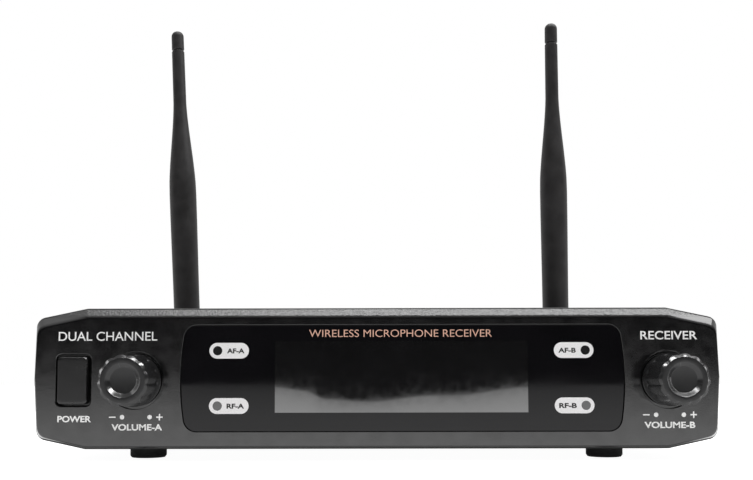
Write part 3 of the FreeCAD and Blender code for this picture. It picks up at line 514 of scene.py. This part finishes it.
def lathe(profile, steps, closed=False, radius_at=None):
    """Turn a profile of (radius, height) about Z; radius_at(radius, height, angle) may flute it."""
    shape = bmesh.new()
    rings = []
    for radius, height in profile:
        if radius < 1e-5:
            rings.append([shape.verts.new((0, 0, height))])
            continue
        rings.append([])
        for step in range(steps):
            angle = 2 * math.pi * step / steps
            reach = radius_at(radius, height, angle) if radius_at else radius
            rings[-1].append(shape.verts.new((reach * math.cos(angle), reach * math.sin(angle), height)))
    for low, high in zip(rings, rings[1:] + ([rings[0]] if closed else [])):
        for step in range(steps):
            after = (step + 1) % steps
            corners = [low[step % len(low)], low[after % len(low)],
                       high[after % len(high)], high[step % len(high)]]
            corners = list(dict.fromkeys(corners))
            if len(corners) > 2:
                shape.faces.new(corners)
    return shape


def merge(first, *others):
    """Add other bmeshes to the first."""
    for other in others:
        data = bpy.data.meshes.new("shell")
        other.to_mesh(data)
        other.free()
        first.from_mesh(data)
        bpy.data.meshes.remove(data)
    return first


def moved(shape, *turns):
    """The same bmesh after a few transforms, in their order."""
    for turn in turns:
        shape.transform(turn)
    return shape


def at(x, y, z):
    return Matrix.Translation((x, y, z))


def block(low, high, edge):
    """A box between two corners with rounded edges."""
    shape = bmesh.new()
    low, high = Vector(low), Vector(high)
    bmesh.ops.create_cube(shape, size=1.0)
    shape.transform(Matrix.Translation((low + high) / 2) @ Matrix.Diagonal((*(high - low), 1)))
    bmesh.ops.bevel(shape, geom=shape.edges[:], offset=edge, segments=2, profile=0.5, affect="EDGES")
    return shape


TO_FRONT = Matrix.Rotation(math.radians(90), 4, "X")   # a height along +Z becomes a height along -Y
TO_BACK = Matrix.Rotation(math.radians(-90), 4, "X")   # a height along +Z becomes a height along +Y


# ------------------------------------------------------------------ front panel and window

BUTTON_X, CONTROL_Z = middle("power_button").x, middle("power_button").z
KNOB_X = {side: middle(f"volume_knob_{side}").x for side in "ab"}
LAMP_X = {side: middle(f"lamp_audio_{side}").x for side in "ab"}
LAMP_RISE = 8.35                # how far the lamps stand above and below the middle

CASE_HALF_X, SHOULDER_X, SHOULDER_DROP = 105, 89, 3.25
LOWER_DRAFT, UPPER_DRAFT = 1.1, 0.5

WINDOW_X, WINDOW_HALF_X, WINDOW_HALF_Z, WINDOW_BOW, WINDOW_CORNER = 7.8, 67.2, 16.1, 1.6, 4.0
WINDOW_FACE = 0.2               # how far the window's face lies behind the panel's
DISPLAY_X = 7.5

PANEL_STEP = 0.4                # the panel is this much smaller than the case all round
PANEL_BEVELS = (2.3, 0.9, 0.6)  # how wide its bevel is at the top, the sides and the bottom
PANEL_RISE = 3.2                # how deep its bevel is
PANEL_BACK, PANEL_WALL = 10.0, 2.5
WINDOW_FLOOR, WELL_FLOOR, WELL_RADIUS, SHAFT_RADIUS = 1.4, 1.2, 8.8, 3.65
POSTS = [(x, z) for x in (-82.7, 79.6) for z in (-12.5, 12.5)]


def case_section(inset, top=0.0, side=0.0, bottom=0.0, corner=3.2):
    """The eight-sided section of the case, drawn in by inset and by more on chosen sides."""
    half, shoulder = CASE_HALF_X - inset - side, SHOULDER_X - side
    high, low = CASE_HIGH.z - inset - top, CASE_LOW.z + inset + bottom
    right = [(shoulder, low), (half - LOWER_DRAFT, low + SHOULDER_DROP), (half, MID_Z),
             (half - UPPER_DRAFT, high - SHOULDER_DROP), (shoulder, high)]
    return rounded_polygon(right + [(-x, z) for x, z in reversed(right)], corner)


def window_section(grow):
    """The window: straight top and bottom, sides bowed outwards, round corners."""
    half_x, half_z, corner = WINDOW_HALF_X + grow, WINDOW_HALF_Z + grow, WINDOW_CORNER + grow
    radius = (WINDOW_HALF_Z ** 2 + WINDOW_BOW ** 2) / (WINDOW_BOW * 2) + grow
    centre = half_x - radius
    corner_x = centre + math.sqrt((radius - corner) ** 2 - (half_z - corner) ** 2)
    tilt = math.degrees(math.atan2(half_z - corner, corner_x - centre))
    right = arc(centre, 0, radius, -tilt, tilt, 16)
    upper = arc(corner_x, half_z - corner, corner, tilt, 90, 8)[1:]
    quarter = right[8:] + upper
    half = [(x, -z) for x, z in reversed(quarter)][:-1] + quarter
    whole = half + [(-x, z) for x, z in reversed(half)]
    return [(x + WINDOW_X, z + MID_Z) for x, z in whole]


def front_panel():
    """The front moulding: bevelled rim, openings and wells, a skirt behind and posts for the board."""
    shape = bmesh.new()
    profile = [(4.0, 0.0), (PANEL_BEVELS[0], 0.0), (0.0, PANEL_RISE - 0.3), (0.0, PANEL_RISE)]
    loops = []
    for inset, depth in rounded(profile, [2.6, 0.4], 8):
        share = inset / PANEL_BEVELS[0]
        widths = [bevel * share for bevel in PANEL_BEVELS]
        loops.append(ring(shape, case_section(PANEL_STEP, *widths, 2.9 + share), depth))
    skirt = [ring(shape, case_section(inset, corner=1.0), depth)
             for inset, depth in ((2.2, PANEL_RISE), (2.2, PANEL_BACK), (4.0, PANEL_BACK), (4.0, PANEL_WALL))]
    walls(shape, loops + skirt)

    def opening(outline, steps):
        """Cut an opening, each step an outline grown by some amount at some depth."""
        made = [ring(shape, outline(grow), depth) for grow, depth in steps]
        walls(shape, made)
        return made[0], made[-1]

    lip = [(0.3, 0.0), (0.16, 0.03), (0.05, 0.13), (0.0, 0.3)]
    fine_lip = [(0.1, 0.0), (0.03, 0.03), (0.0, 0.1)]
    button = opening(
        lambda grow: rounded_rectangle(BUTTON_X, CONTROL_Z, 5.22 + grow, 7.82 + grow, 1.5 + grow),
        lip + [(0, PANEL_WALL)])
    wells = [opening(lambda grow: circle(x, CONTROL_Z, WELL_RADIUS + grow, 96), fine_lip + [(0, WELL_FLOOR)])
             for x in KNOB_X.values()]
    shafts = [opening(lambda grow: circle(x, CONTROL_Z, SHAFT_RADIUS), [(0, WELL_FLOOR), (0, PANEL_WALL)])
              for x in KNOB_X.values()]
    window = opening(lambda grow: window_section(0.1 + grow), fine_lip + [(0, WINDOW_FLOOR)])
    through = [(0, WINDOW_FLOOR), (0, PANEL_WALL)]
    floor_holes = [opening(lambda grow: rounded_rectangle(DISPLAY_X, MID_Z, 39.5, 12.3, 0.5), through)]
    for x in LAMP_X.values():
        for z in (MID_Z - LAMP_RISE, MID_Z + LAMP_RISE):
            floor_holes.append(opening(lambda grow: circle(x, z, 1.65, 24), through))
    cap(shape, loops[0], [pair[0] for pair in [button, window] + wells])
    for well, shaft in zip(wells, shafts):
        cap(shape, well[1], [shaft[0]])
    cap(shape, window[1], [pair[0] for pair in floor_holes])
    cap(shape, skirt[-1], [button[1]] + [pair[1] for pair in shafts + floor_holes])
    for x, z in POSTS:
        post = lathe([(1.5, 3.3), (1.5, 7.0), (3.0, 7.0), (3.0, 2.3)], 24, closed=True)
        merge(shape, moved(post, TO_BACK, at(x, FRONT, MID_Z + z)))
    return finish_piece("front_panel_moulding", shape, "panel_plastic", "housing", ["front_panel"], crisp=40)


def window_lens():
    """The gloss sheet in the window's recess, its front edge eased."""
    shape = bmesh.new()
    loops = [ring(shape, window_section(grow), depth)
             for grow, depth in ((-0.25, WINDOW_FACE), (-0.08, 0.25), (0, 0.4), (0, WINDOW_FLOOR))]
    walls(shape, loops)
    cap(shape, loops[0])
    cap(shape, loops[-1])
    return finish_piece("window_sheet", shape, "smoked_acrylic", "housing", ["window_lens"], crisp=60)


# where the film bends along its width, from -1 to 1, and by how many degrees
FILM_BENDS = [(-1.0, -0.74, 0.12), (-0.76, -0.6, 0.26), (-0.6, -0.3, 0.08), (-0.25, 0.25, -0.19),
              (0.4, 1.0, -0.26)]


def display_film():
    """The clear opening over the display. It isn't quite flat, so what it mirrors bends."""
    shape = bmesh.new()
    columns, rows, half_x, half_z, centre_z = 96, 6, 38.3, 10.85, MID_Z + 0.45
    face, back_face = FRONT + 0.08, FRONT + 0.24
    fronts = []
    for row in range(rows + 1):
        fronts.append([])
        for column in range(columns + 1):
            along, up = column / columns * 2 - 1, row / rows * 2 - 1
            tilt = math.radians(0.05)
            for start, end, change in FILM_BENDS:
                tilt += math.radians(change) * smooth(min(max((along - start) / (end - start), 0), 1))
            y = face + tilt * up * half_z
            fronts[-1].append(shape.verts.new((DISPLAY_X + along * half_x, y, centre_z + up * half_z)))
    for low, high in zip(fronts, fronts[1:]):
        for column in range(columns):
            shape.faces.new((low[column], low[column + 1], high[column + 1], high[column]))
    extruded = bmesh.ops.extrude_face_region(shape, geom=shape.faces[:])
    back = [item for item in extruded["geom"] if isinstance(item, bmesh.types.BMVert)]
    for corner in back:
        corner.co.y = back_face
    return finish_piece("display_film", shape, "lcd_glass", "housing", crisp=30)


front_panel()
window_lens()
display_film()


# ------------------------------------------------------------------ knobs and button


FLUTE_TURN = {"a": 22.5, "b": 12.5}     # where the flutes are on each knob at rest, in degrees


def knob(side):
    """A knob turned from its profile, with its bore behind."""
    def flute(radius, height, angle):
        """Twelve narrow grooves between rounded lobes, dying away at the skirt and on the face."""
        off = abs((math.degrees(angle) - FLUTE_TURN[side] + 15) % 30 - 15) / 15
        fade = min(max((radius - 6.5) / 0.6, 0), 1) * min(max((height - 2.6) / 0.6, 0), 1)
        return radius - fade * (0.4 * (1 - off) ** 2 + 0.05 * (1 - off))

    outer = rounded([(6.4, -0.4), (7.95, -0.4), (7.95, 1.5), (7.66, 2.9), (7.5, 14.9), (6.55, 15.5),
                     (5.0, 15.5), (3.85, 14.5), (0, 14.5)], [0.2, 0.1, 2.0, 0.25, 0.25, 0.3, 0.25], 4)
    inner = [(0, 13.6), (3.02, 13.6), (3.02, 5.0), (6.4, 5.0)]
    shape = lathe([tuple(point) for point in outer] + inner, 360, radius_at=flute)
    bmesh.ops.bridge_loops(shape, edges=[edge for edge in shape.edges if edge.is_boundary])
    moved(shape, TO_FRONT, at(KNOB_X[side], FRONT, CONTROL_Z))
    return finish_piece(f"volume_knob_{side}_moulding", shape, "knob_plastic", f"volume_knob_{side}",
                        [f"volume_knob_{side}"], crisp=30)


def power_button():
    """The button's cap, with the flange behind the panel that keeps it in."""
    shape = bmesh.new()
    outline = []
    for grow, depth in rounded([(-1.3, -1.4), (0.0, -1.4), (0.0, 2.7)], [0.6], 6):
        edge = rounded_rectangle(BUTTON_X, CONTROL_Z, 4.55 + grow, 7.15 + grow, 1.2 + max(grow, -0.9))
        outline.append(ring(shape, edge, depth))
    flange = [ring(shape, rounded_rectangle(BUTTON_X, CONTROL_Z, 5.95, 8.55, 1.5), depth)
              for depth in (2.75, 3.7)]
    walls(shape, outline + flange)
    cap(shape, outline[0])
    cap(shape, flange[-1])
    return finish_piece("power_button_cap", shape, "button_plastic", "power_button", ["power_button"],
                        crisp=40)


CONTROLS = [knob(side) for side in "ab"] + [power_button()]


# ------------------------------------------------------------------ printing


INK_THICK = 0.03


def letters(text, centre, size, depth, bold):
    """Lettering of an exact width and height, centred at (x, z), raised a hair off the surface at depth."""
    curve = bpy.data.curves.new("lettering", "FONT")
    curve.body = text
    curve.offset = bold
    curve.resolution_u = 6
    item = bpy.data.objects.new("lettering", curve)
    bpy.context.collection.objects.link(item)
    bpy.context.view_layer.update()
    flat = item.evaluated_get(bpy.context.evaluated_depsgraph_get()).to_mesh()
    shape = bmesh.new()
    shape.from_mesh(flat)
    bpy.data.objects.remove(item)
    bpy.data.curves.remove(curve)
    return print_layer(shape, centre, size, depth)


def print_layer(shape, centre, size, depth):
    """Scale a flat figure to a size, give it the thickness of ink and lay it on the panel."""
    xs, ys = [vert.co.x for vert in shape.verts], [vert.co.y for vert in shape.verts]
    low, high = (min(xs), min(ys)), (max(xs), max(ys))
    for vert in shape.verts:
        across = (vert.co.x - low[0]) / (high[0] - low[0]) - 0.5
        up = (vert.co.y - low[1]) / (high[1] - low[1]) - 0.5
        vert.co = (centre[0] + across * size[0], FRONT + depth, centre[1] + up * size[1])
    raised = bmesh.ops.extrude_face_region(shape, geom=shape.faces[:])
    for item in raised["geom"]:
        if isinstance(item, bmesh.types.BMVert):
            item.co.y -= INK_THICK
    return shape


def flat_shape(outer, holes):
    """A flat figure with holes, lying in the plane of its first two numbers."""
    shape = bmesh.new()
    loops = [[shape.verts.new((x, z, 0)) for x, z in loop] for loop in (outer, *holes)]
    corners = [corner for loop in loops for corner in loop]
    for triangle in tessellate_polygon([[corner.co for corner in loop] for loop in loops]):
        shape.faces.new([corners[number] for number in triangle])
    return shape


def printed(outer, depth, holes=()):
    """A figure of ink on the panel at the place its outline says."""
    xs, zs = [point[0] for point in outer], [point[1] for point in outer]
    centre = ((min(xs) + max(xs)) / 2, (min(zs) + max(zs)) / 2)
    return print_layer(flat_shape(outer, holes), centre, (max(xs) - min(xs), max(zs) - min(zs)), depth)


def bar(x, z, half_x, half_z):
    """The outline of a short dash."""
    return rounded_rectangle(x, z, half_x, half_z, min(half_x, half_z) * 0.3, 2)


def cross(x, z, reach, half):
    """The outline of a plus sign whose arms are twice half wide."""
    points = [(reach, -half), (reach, half), (half, half), (half, reach), (-half, reach), (-half, half),
              (-reach, half), (-reach, -half), (-half, -half), (-half, -reach), (half, -reach), (half, -half)]
    return [(x + across, z + up) for across, up in points]


def panel_print():
    """White ink on the panel: what each control does, and its end marks."""
    shapes = [
        letters("DUAL CHANNEL", (-81.6, MID_Z + 12.8), (30.0, 2.75), 0, 0.004),
        letters("RECEIVER", (88.65, MID_Z + 12.8), (17.2, 2.6), 0, 0.012),
        letters("POWER", (-91.4, MID_Z - 12.2), (10.2, 1.94), 0, 0.028),
        letters("VOLUME-A", (-72.45, MID_Z - 14.7), (15.3, 1.94), 0, 0.028),
        letters("VOLUME-B", (88.35, MID_Z - 14.25), (15.3, 1.94), 0, 0.028),
    ]
    for x, drop in ((-72.78, 11.66), (88.45, 11.2)):
        z = MID_Z - drop
        shapes.append(printed(bar(x - 7.12, z, 1.0, 0.18), 0))
        shapes.append(printed(cross(x + 7.14, z, 0.98, 0.2), 0))
        shapes += [printed(circle(x + side * 4.18, z, 0.68, 24), 0) for side in (-1, 1)]
    return finish_piece("panel_print", merge(*shapes), "white_ink", "housing")


PILL_X = {"a": LAMP_X["a"] + 3.45, "b": LAMP_X["b"] - 3.4}


def window_print():
    """Ink on the window: a title, and a pale pill round each lamp with its label."""
    surface = WINDOW_FACE
    pills, labels, lamps = [], [], []
    for side, x in PILL_X.items():
        out = -1 if side == "a" else 1
        for kind, rise in (("AF", LAMP_RISE), ("RF", -LAMP_RISE)):
            z = MID_Z + rise
            lamp_x = x + out * 3.5
            hole = circle(lamp_x, z, 1.42, 32)
            pills.append(printed(rounded_rectangle(x, z, 6.0, 2.38, 2.37, 10), surface, [hole[::-1]]))
            labels.append(letters(f"{kind}-{side.upper()}", (x - out * 2.0, z - 0.05), (5.3, 1.5),
                                  surface - INK_THICK, 0.034))
            lamps.append(printed(circle(lamp_x, z, 1.5, 32), surface + 0.01))
    title = letters("WIRELESS MICROPHONE RECEIVER", (7.3, MID_Z + 13.57), (55.5, 2.24), surface, -0.006)
    finish_piece("window_print_pale", merge(*pills), "pale_ink", "housing")
    finish_piece("window_print_labels", merge(*labels), "black_ink", "housing")
    finish_piece("window_print_title", title, "peach_ink", "housing")
    finish_piece("lamp_windows", merge(*lamps), "lamp_window", "housing")


panel_print()
window_print()


# ------------------------------------------------------------------ case, feet and screws


VENT_X = 46                     # a cut through the middle of each row of vents leaves no face with holes


def rim_and_vents(edge):
    """The rims of a case half are rounded most, the vents and screw holes least."""
    along_y = abs((edge.verts[0].co - edge.verts[1].co).normalized().y)
    middle_of = (edge.verts[0].co + edge.verts[1].co) / 2
    outer = (max(abs(middle_of.x) - SHOULDER_X, 0) * 0.2 + abs(middle_of.z - MID_Z) > 20.2
             or abs(middle_of.x) > 103.4)
    if outer and middle_of.y < FRONT + 3.7:
        return 2.0
    if middle_of.z > CASE_HIGH.z - 0.1 and abs(middle_of.x) < 62 and abs(middle_of.y - FRONT - 81) < 24:
        return 0.5
    return 0.25 if along_y > 0.95 and abs(middle_of.z - MID_Z) < 0.1 else 1.0


def foot(node):
    """A rubber foot with a raised ring under it."""
    low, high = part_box(node)
    centre = (low + high) / 2 / MM
    wide = (high - low).x / 2 / MM
    profile = rounded([(0, 0.5), (wide - 2.6, 0.5), (wide - 2.2, 0), (wide - 0.5, 0), (wide, 0.7),
                       (wide, 3.3), (wide - 0.1, 3.4), (0, 3.4)], [0.2, 0.2, 0.3, 0.3, 0.1, 0.1])
    shape = lathe([tuple(point) for point in profile], 64)
    finish_piece(f"{node}_rubber", moved(shape, at(centre.x, centre.y, 0)), "foot_rubber", "housing", [node])


def screw(length):
    """A pan-head screw standing on its head's seat, with a cross recess and a rolled thread."""
    pitch, head = 0.7, 1.97
    outline = [(0.0, -length), (0.5, -length), (1.35, -length + 1.6)]
    for turn in range(int((length - 2.2) / pitch)):
        height = -length + 1.8 + turn * pitch
        outline += [(1.15, height), (1.45, height + 0.35)]
    outline += [(1.3, -0.15), (2.7, 0.0), (2.8, 0.12), (2.8, 0.7), (2.68, 1.2), (2.35, 1.62),
                (1.95, 1.88), (1.75, head)]
    body = lathe(outline, 40)
    top = [vert for vert in body.verts if abs(vert.co.z - head) < 1e-6]
    top.sort(key=lambda vert: math.atan2(vert.co.y, vert.co.x))
    points = cross(0, 0, 1.35, 0.28)
    lips = [body.verts.new((x, y, head)) for x, y in points]
    floors = [body.verts.new((x * 0.8, y * 0.8, 0.7)) for x, y in points]
    for triangle in tessellate_polygon([[vert.co for vert in top], [vert.co for vert in reversed(lips)]]):
        order = top + lips[::-1]
        body.faces.new([order[number] for number in triangle])
    wall(body, lips, floors)
    for triangle in tessellate_polygon([[vert.co for vert in floors]]):
        body.faces.new([floors[number] for number in triangle])
    return body


def screws(node, places, length, turn, look):
    """A node's screws, no two of them stopped at the same angle."""
    shapes = []
    for number, place in enumerate(places):
        spin = Matrix.Rotation(math.radians(17 + 53 * number), 4, "Z")
        shapes.append(moved(screw(length), spin, turn, at(*place)))
    finish_piece(f"{node}_heads", merge(*shapes), look, "housing", [node])


REAR_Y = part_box("rear_panel")[1].y / MM
BOARD_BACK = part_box("control_board")[1].y / MM
BOARD_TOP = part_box("main_board")[1].z / MM
UPSIDE_DOWN = Matrix.Rotation(math.pi, 4, "X")
STRAIGHT = Matrix.Identity(4)

refined("bottom_case", 0.45, rim_and_vents, cuts=(-VENT_X, VENT_X))
refined("top_case", 0.45, rim_and_vents, cuts=(-VENT_X, VENT_X))
refined("rear_panel", 0.2)
for end in ("front", "rear"):
    for side in ("left", "right"):
        foot(f"foot_{end}_{side}")
screws("case_screws", [(x, FRONT + y, CASE_LOW.z + 4) for x in (-86, 86) for y in (28, 108)], 26, UPSIDE_DOWN,
       "screw_steel")
screws("rear_panel_screws", [(x, REAR_Y, MID_Z + z) for x in (-60, 60) for z in (-14.5, 14.5)], 9, TO_BACK,
       "screw_steel")
screws("control_board_screws", [(x, BOARD_BACK, MID_Z + z) for x, z in POSTS], 5, TO_BACK,
       "board_screw_steel")
screws("main_board_screws", [(x, FRONT + y, BOARD_TOP) for x in (-74, 74) for y in (22, 104)], 6, STRAIGHT,
       "board_screw_steel")


# ------------------------------------------------------------------ sockets and antennas


def thread(radius, start, end, pitch, depth):
    """A profile of fine V grooves, chamfered at its end."""
    points = []
    for turn in range(int((end - start - 0.6) / pitch)):
        height = start + turn * pitch
        points += [(radius - depth, height), (radius, height + pitch / 2)]
    root = radius - depth
    return points + [(root, points[-1][1] + pitch / 2), (root, end - 0.4), (root - 0.4, end)]


def output_jack():
    """The output socket: a threaded bush through the rear panel, on its body inside."""
    x, z = middle("output_jack_nut").x, middle("output_jack_nut").z
    panel = REAR_Y - 1.5
    profile = ([(3.25, -22), (4.9, -22), (4.9, 0)] + thread(4.9, 0.2, 6.0, 0.75, 0.28)
               + [(3.5, 6.0), (3.25, 5.75)])
    bush = moved(lathe(profile, 64, closed=True), TO_BACK, at(x, panel, z))
    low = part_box("output_jack")[0] / MM
    body = block((x - 8, low.y, low.z), (x + 8, panel, z + 8), 0.4)
    bmesh.ops.recalc_face_normals(body, faces=body.faces)
    finish_piece("output_jack_socket", merge(bush, body), "jack_plastic", "housing", ["output_jack"])


ANTENNAS = {"a": (-3.1, 2.8), "b": (0.0, 0.0)}   # degrees of lean about Y and of fold about X


def whip(side):
    """An antenna's rubber whip and cap, with the tongue that turns on the hinge pin."""
    lean, fold = ANTENNAS[side]
    hinge = middle(f"antenna_{side}_hinge_pin")
    place = (at(*hinge) @ Matrix.Rotation(math.radians(lean), 4, "Y")
             @ Matrix.Rotation(math.radians(-fold), 4, "X"))
    body = body_of(f"antenna_{side}_sleeve")
    bottom = [(0, 7.0), (5.1, 7.0), (5.7, 7.7), (5.72, 30)]
    swell = [(5.72 + 0.31 * smooth(share), 30 + 55 * share) for share in (0.25, 0.5, 0.75, 1.0)]
    shares = [step / 14 for step in range(1, 15)]
    cone = [(6.03 - 3.08 * (0.55 * smooth(share) + 0.45 * share), 88.5 + 39.5 * share) for share in shares]
    top = [(2.85, 152.9), (2.55, 153.3), (1.5, 153.3), (1.5, 12.5), (0, 12.5)]
    shape = lathe(bottom + swell + cone + top, 64)
    outline = arc(0, 0, 5.0, 180, 360, 24) + [(5.0, 8.0), (-5.0, 8.0)]
    hole = circle(0, 0, 1.06, 24)
    plate = bmesh.new()
    faces = []
    for x, inset in ((-2.3, 0.25), (-2.05, 0), (2.05, 0), (2.3, 0.25)):
        shrink = (5.0 - inset) / 5.0
        outer = [plate.verts.new((x, y * shrink, z * shrink if z < 5 else z)) for y, z in outline]
        inner = [plate.verts.new((x, y * (1 + inset / 3), z * (1 + inset / 3))) for y, z in hole]
        faces.append((outer, inner))
    for (outer, inner), (next_outer, next_inner) in zip(faces, faces[1:]):
        wall(plate, outer, next_outer)
        wall(plate, inner, next_inner)
    for outer, inner in (faces[0], faces[-1]):
        order = outer + inner
        loops = [[vert.co.yzx for vert in outer], [vert.co.yzx for vert in inner]]
        for triangle in tessellate_polygon(loops):
            plate.faces.new([order[number] for number in triangle])
    bmesh.ops.recalc_face_normals(plate, faces=plate.faces)
    bmesh.ops.recalc_face_normals(shape, faces=shape.faces)
    merge(shape, plate)
    finish_piece(f"antenna_{side}_whip", moved(shape, place), "antenna_rubber", body,
                 [f"antenna_{side}_sleeve"], crisp=50)
    cap_profile = [(0, 157.5), (1.5, 157.5), (1.5, 153.3), (2.1, 153.3), (2.1, 153.85), (2.7, 154.0),
                   (2.83, 154.25)]
    tip = lathe(cap_profile + arc(0.35, 160.4, 2.45, 0, 90, 12) + [(0, 162.85)], 48)
    finish_piece(f"antenna_{side}_cap", moved(tip, place), "antenna_rubber", body, [f"antenna_{side}_tip"],
                 crisp=50)


output_jack()
refined("output_jack_nut", 0.35)
refined("power_inlet", 0.3)
refined("power_inlet_pin", 0.3)
for side in "ab":
    refined(f"antenna_{side}_nut", 0.3)
    refined(f"antenna_{side}_bush", 0.25)
    refined(f"antenna_{side}_swivel", 0.5)
    refined(f"antenna_{side}_hinge_pin", 0.2)
    refined(f"volume_nut_{side}", 0.3)
    refined(f"tuner_shield_{side}", 0.3)
    whip(side)


# ------------------------------------------------------------------ surroundings


def camera():
    """A normal lens about 30 cm in front of the panel, tilted up a little and shifted to suit."""
    data = bpy.data.cameras.new("camera")
    data.sensor_width = 36.0
    data.lens = 47.57
    data.shift_x, data.shift_y = 0.0198, 0.0797
    data.clip_start = 0.01
    data.dof.use_dof = False
    item = bpy.data.objects.new("camera", data)
    bpy.context.collection.objects.link(item)
    item.location = Vector((-3.5, FRONT - 302.2, 25.4)) * MM
    yaw, tilt, roll = math.radians(0.19), math.radians(90 + 4.39), math.radians(-0.11)
    turn = Matrix.Rotation(yaw, 4, "Z") @ Matrix.Rotation(tilt, 4, "X") @ Matrix.Rotation(roll, 4, "Z")
    item.matrix_world = Matrix.Translation(item.location) @ turn
    bpy.context.scene.camera = item


def surroundings():
    """A pale table top running well out in front, white beyond it, dimmer behind the camera."""
    shape = bmesh.new()
    half_x, half_y = 4000, 2600
    for x, y in ((-half_x, -half_y), (half_x, -half_y), (half_x, half_y), (-half_x, half_y)):
        shape.verts.new(Vector((x, y, FLOOR_Z - 0.2)) * MM)
    shape.faces.new(shape.verts)
    data = bpy.data.meshes.new("table_top")
    shape.to_mesh(data)
    shape.free()
    floor = bpy.data.objects.new("table_top", data)
    bpy.context.collection.objects.link(floor)
    paint = Shader("table_top")
    paint.colour(paint.ramp(paint.noise(60.0), (0.38, 0.38, 0.38), (0.42, 0.42, 0.42)))
    paint.roughness(paint.ramp(paint.noise(20.0), 0.75, 0.85))
    paint.fix(Specular_IOR_Level=0.1, Emission_Color=(1, 1, 1, 1))
    # the glow carries a painted shadow under the unit and a painted pool of light round it
    paint.link(paint.glow_with_painted_shadow(0.15, 1.05, 0.75), paint.main.inputs["Emission Strength"])
    data.materials.append(paint.material)

    world = bpy.data.worlds.new("world")
    bpy.context.scene.world = world
    world.use_nodes = True
    tree = world.node_tree
    tree.nodes.clear()
    out = tree.nodes.new("ShaderNodeOutputWorld")
    seen, lit, mixed = (tree.nodes.new(kind) for kind in
                        ("ShaderNodeBackground", "ShaderNodeBackground", "ShaderNodeMixShader"))
    path, spot, split = (tree.nodes.new(kind) for kind in
                         ("ShaderNodeLightPath", "ShaderNodeTexCoord", "ShaderNodeSeparateXYZ"))
    tree.links.new(spot.outputs["Generated"], split.inputs[0])

    def stretch(source, start, end, low, high):
        """Ease from low to high as the source goes from start to end."""
        item = tree.nodes.new("ShaderNodeMapRange")
        item.interpolation_type = "SMOOTHSTEP"
        for name, value in zip(("From Min", "From Max", "To Min", "To Max"), (start, end, low, high)):
            item.inputs[name].default_value = value
        tree.links.new(source, item.inputs["Value"])
        return item.outputs["Result"]

    behind = stretch(split.outputs["Y"], -0.5, 0.3, 0.0, 0.6)
    above = stretch(split.outputs["Z"], 0.25, 0.9, 0.012, 0.8)
    seen.inputs["Color"].default_value = lit.inputs["Color"].default_value = (1, 1, 1, 1)
    strongest = tree.nodes.new("ShaderNodeMath")
    strongest.operation = "MAXIMUM"
    tree.links.new(behind, strongest.inputs[0])
    tree.links.new(above, strongest.inputs[1])
    tree.links.new(strongest.outputs[0], lit.inputs["Strength"])
    tree.links.new(path.outputs["Is Camera Ray"], mixed.inputs[0])
    tree.links.new(lit.outputs[0], mixed.inputs[1])
    tree.links.new(seen.outputs[0], mixed.inputs[2])
    tree.links.new(mixed.outputs[0], out.inputs["Surface"])


def area_light(name, place, aim, size, power):
    """A white rectangle of light of a size in millimetres, at a place and aimed at a point."""
    data = bpy.data.lights.new(name, "AREA")
    data.shape = "RECTANGLE"
    data.size, data.size_y = size[0] * MM, size[1] * MM
    data.energy = power
    item = bpy.data.objects.new(name, data)
    bpy.context.collection.objects.link(item)
    place, aim = Vector(place) * MM, Vector(aim) * MM
    item.location = place
    item.rotation_euler = (aim - place).to_track_quat("-Z", "Y").to_euler()
    return item


camera()
surroundings()
above = (270, FRONT + 80, 620)
area_light("soft_light_above", above, (*above[:2], 0), (900, 500), 5.0)
# the strips are seen in the knobs and the button only, so each is linked to what it lights
over_front = (50, FRONT - 190, CONTROL_Z + 270)
strips = [(area_light("strip_light_above_front", over_front, (20, FRONT, 40), (380, 60), 4.2), CONTROLS)]
for side, x, lit in (("left", -330, CONTROLS[0]), ("right", 330, CONTROLS[1])):
    aim = (0, FRONT - 110, CONTROL_Z + 100)
    strips.append((area_light(f"strip_light_{side}", (x, *aim[1:]), aim, (120, 260), 1.1), [lit]))
for strip, lit in strips:
    strip.visible_diffuse = False
    strip.light_linking.receiver_collection = bpy.data.collections.new(f"lit_by_{strip.name}")
    for piece in lit:
        strip.light_linking.receiver_collection.objects.link(piece)
bpy.context.scene.view_settings.view_transform = "Standard"
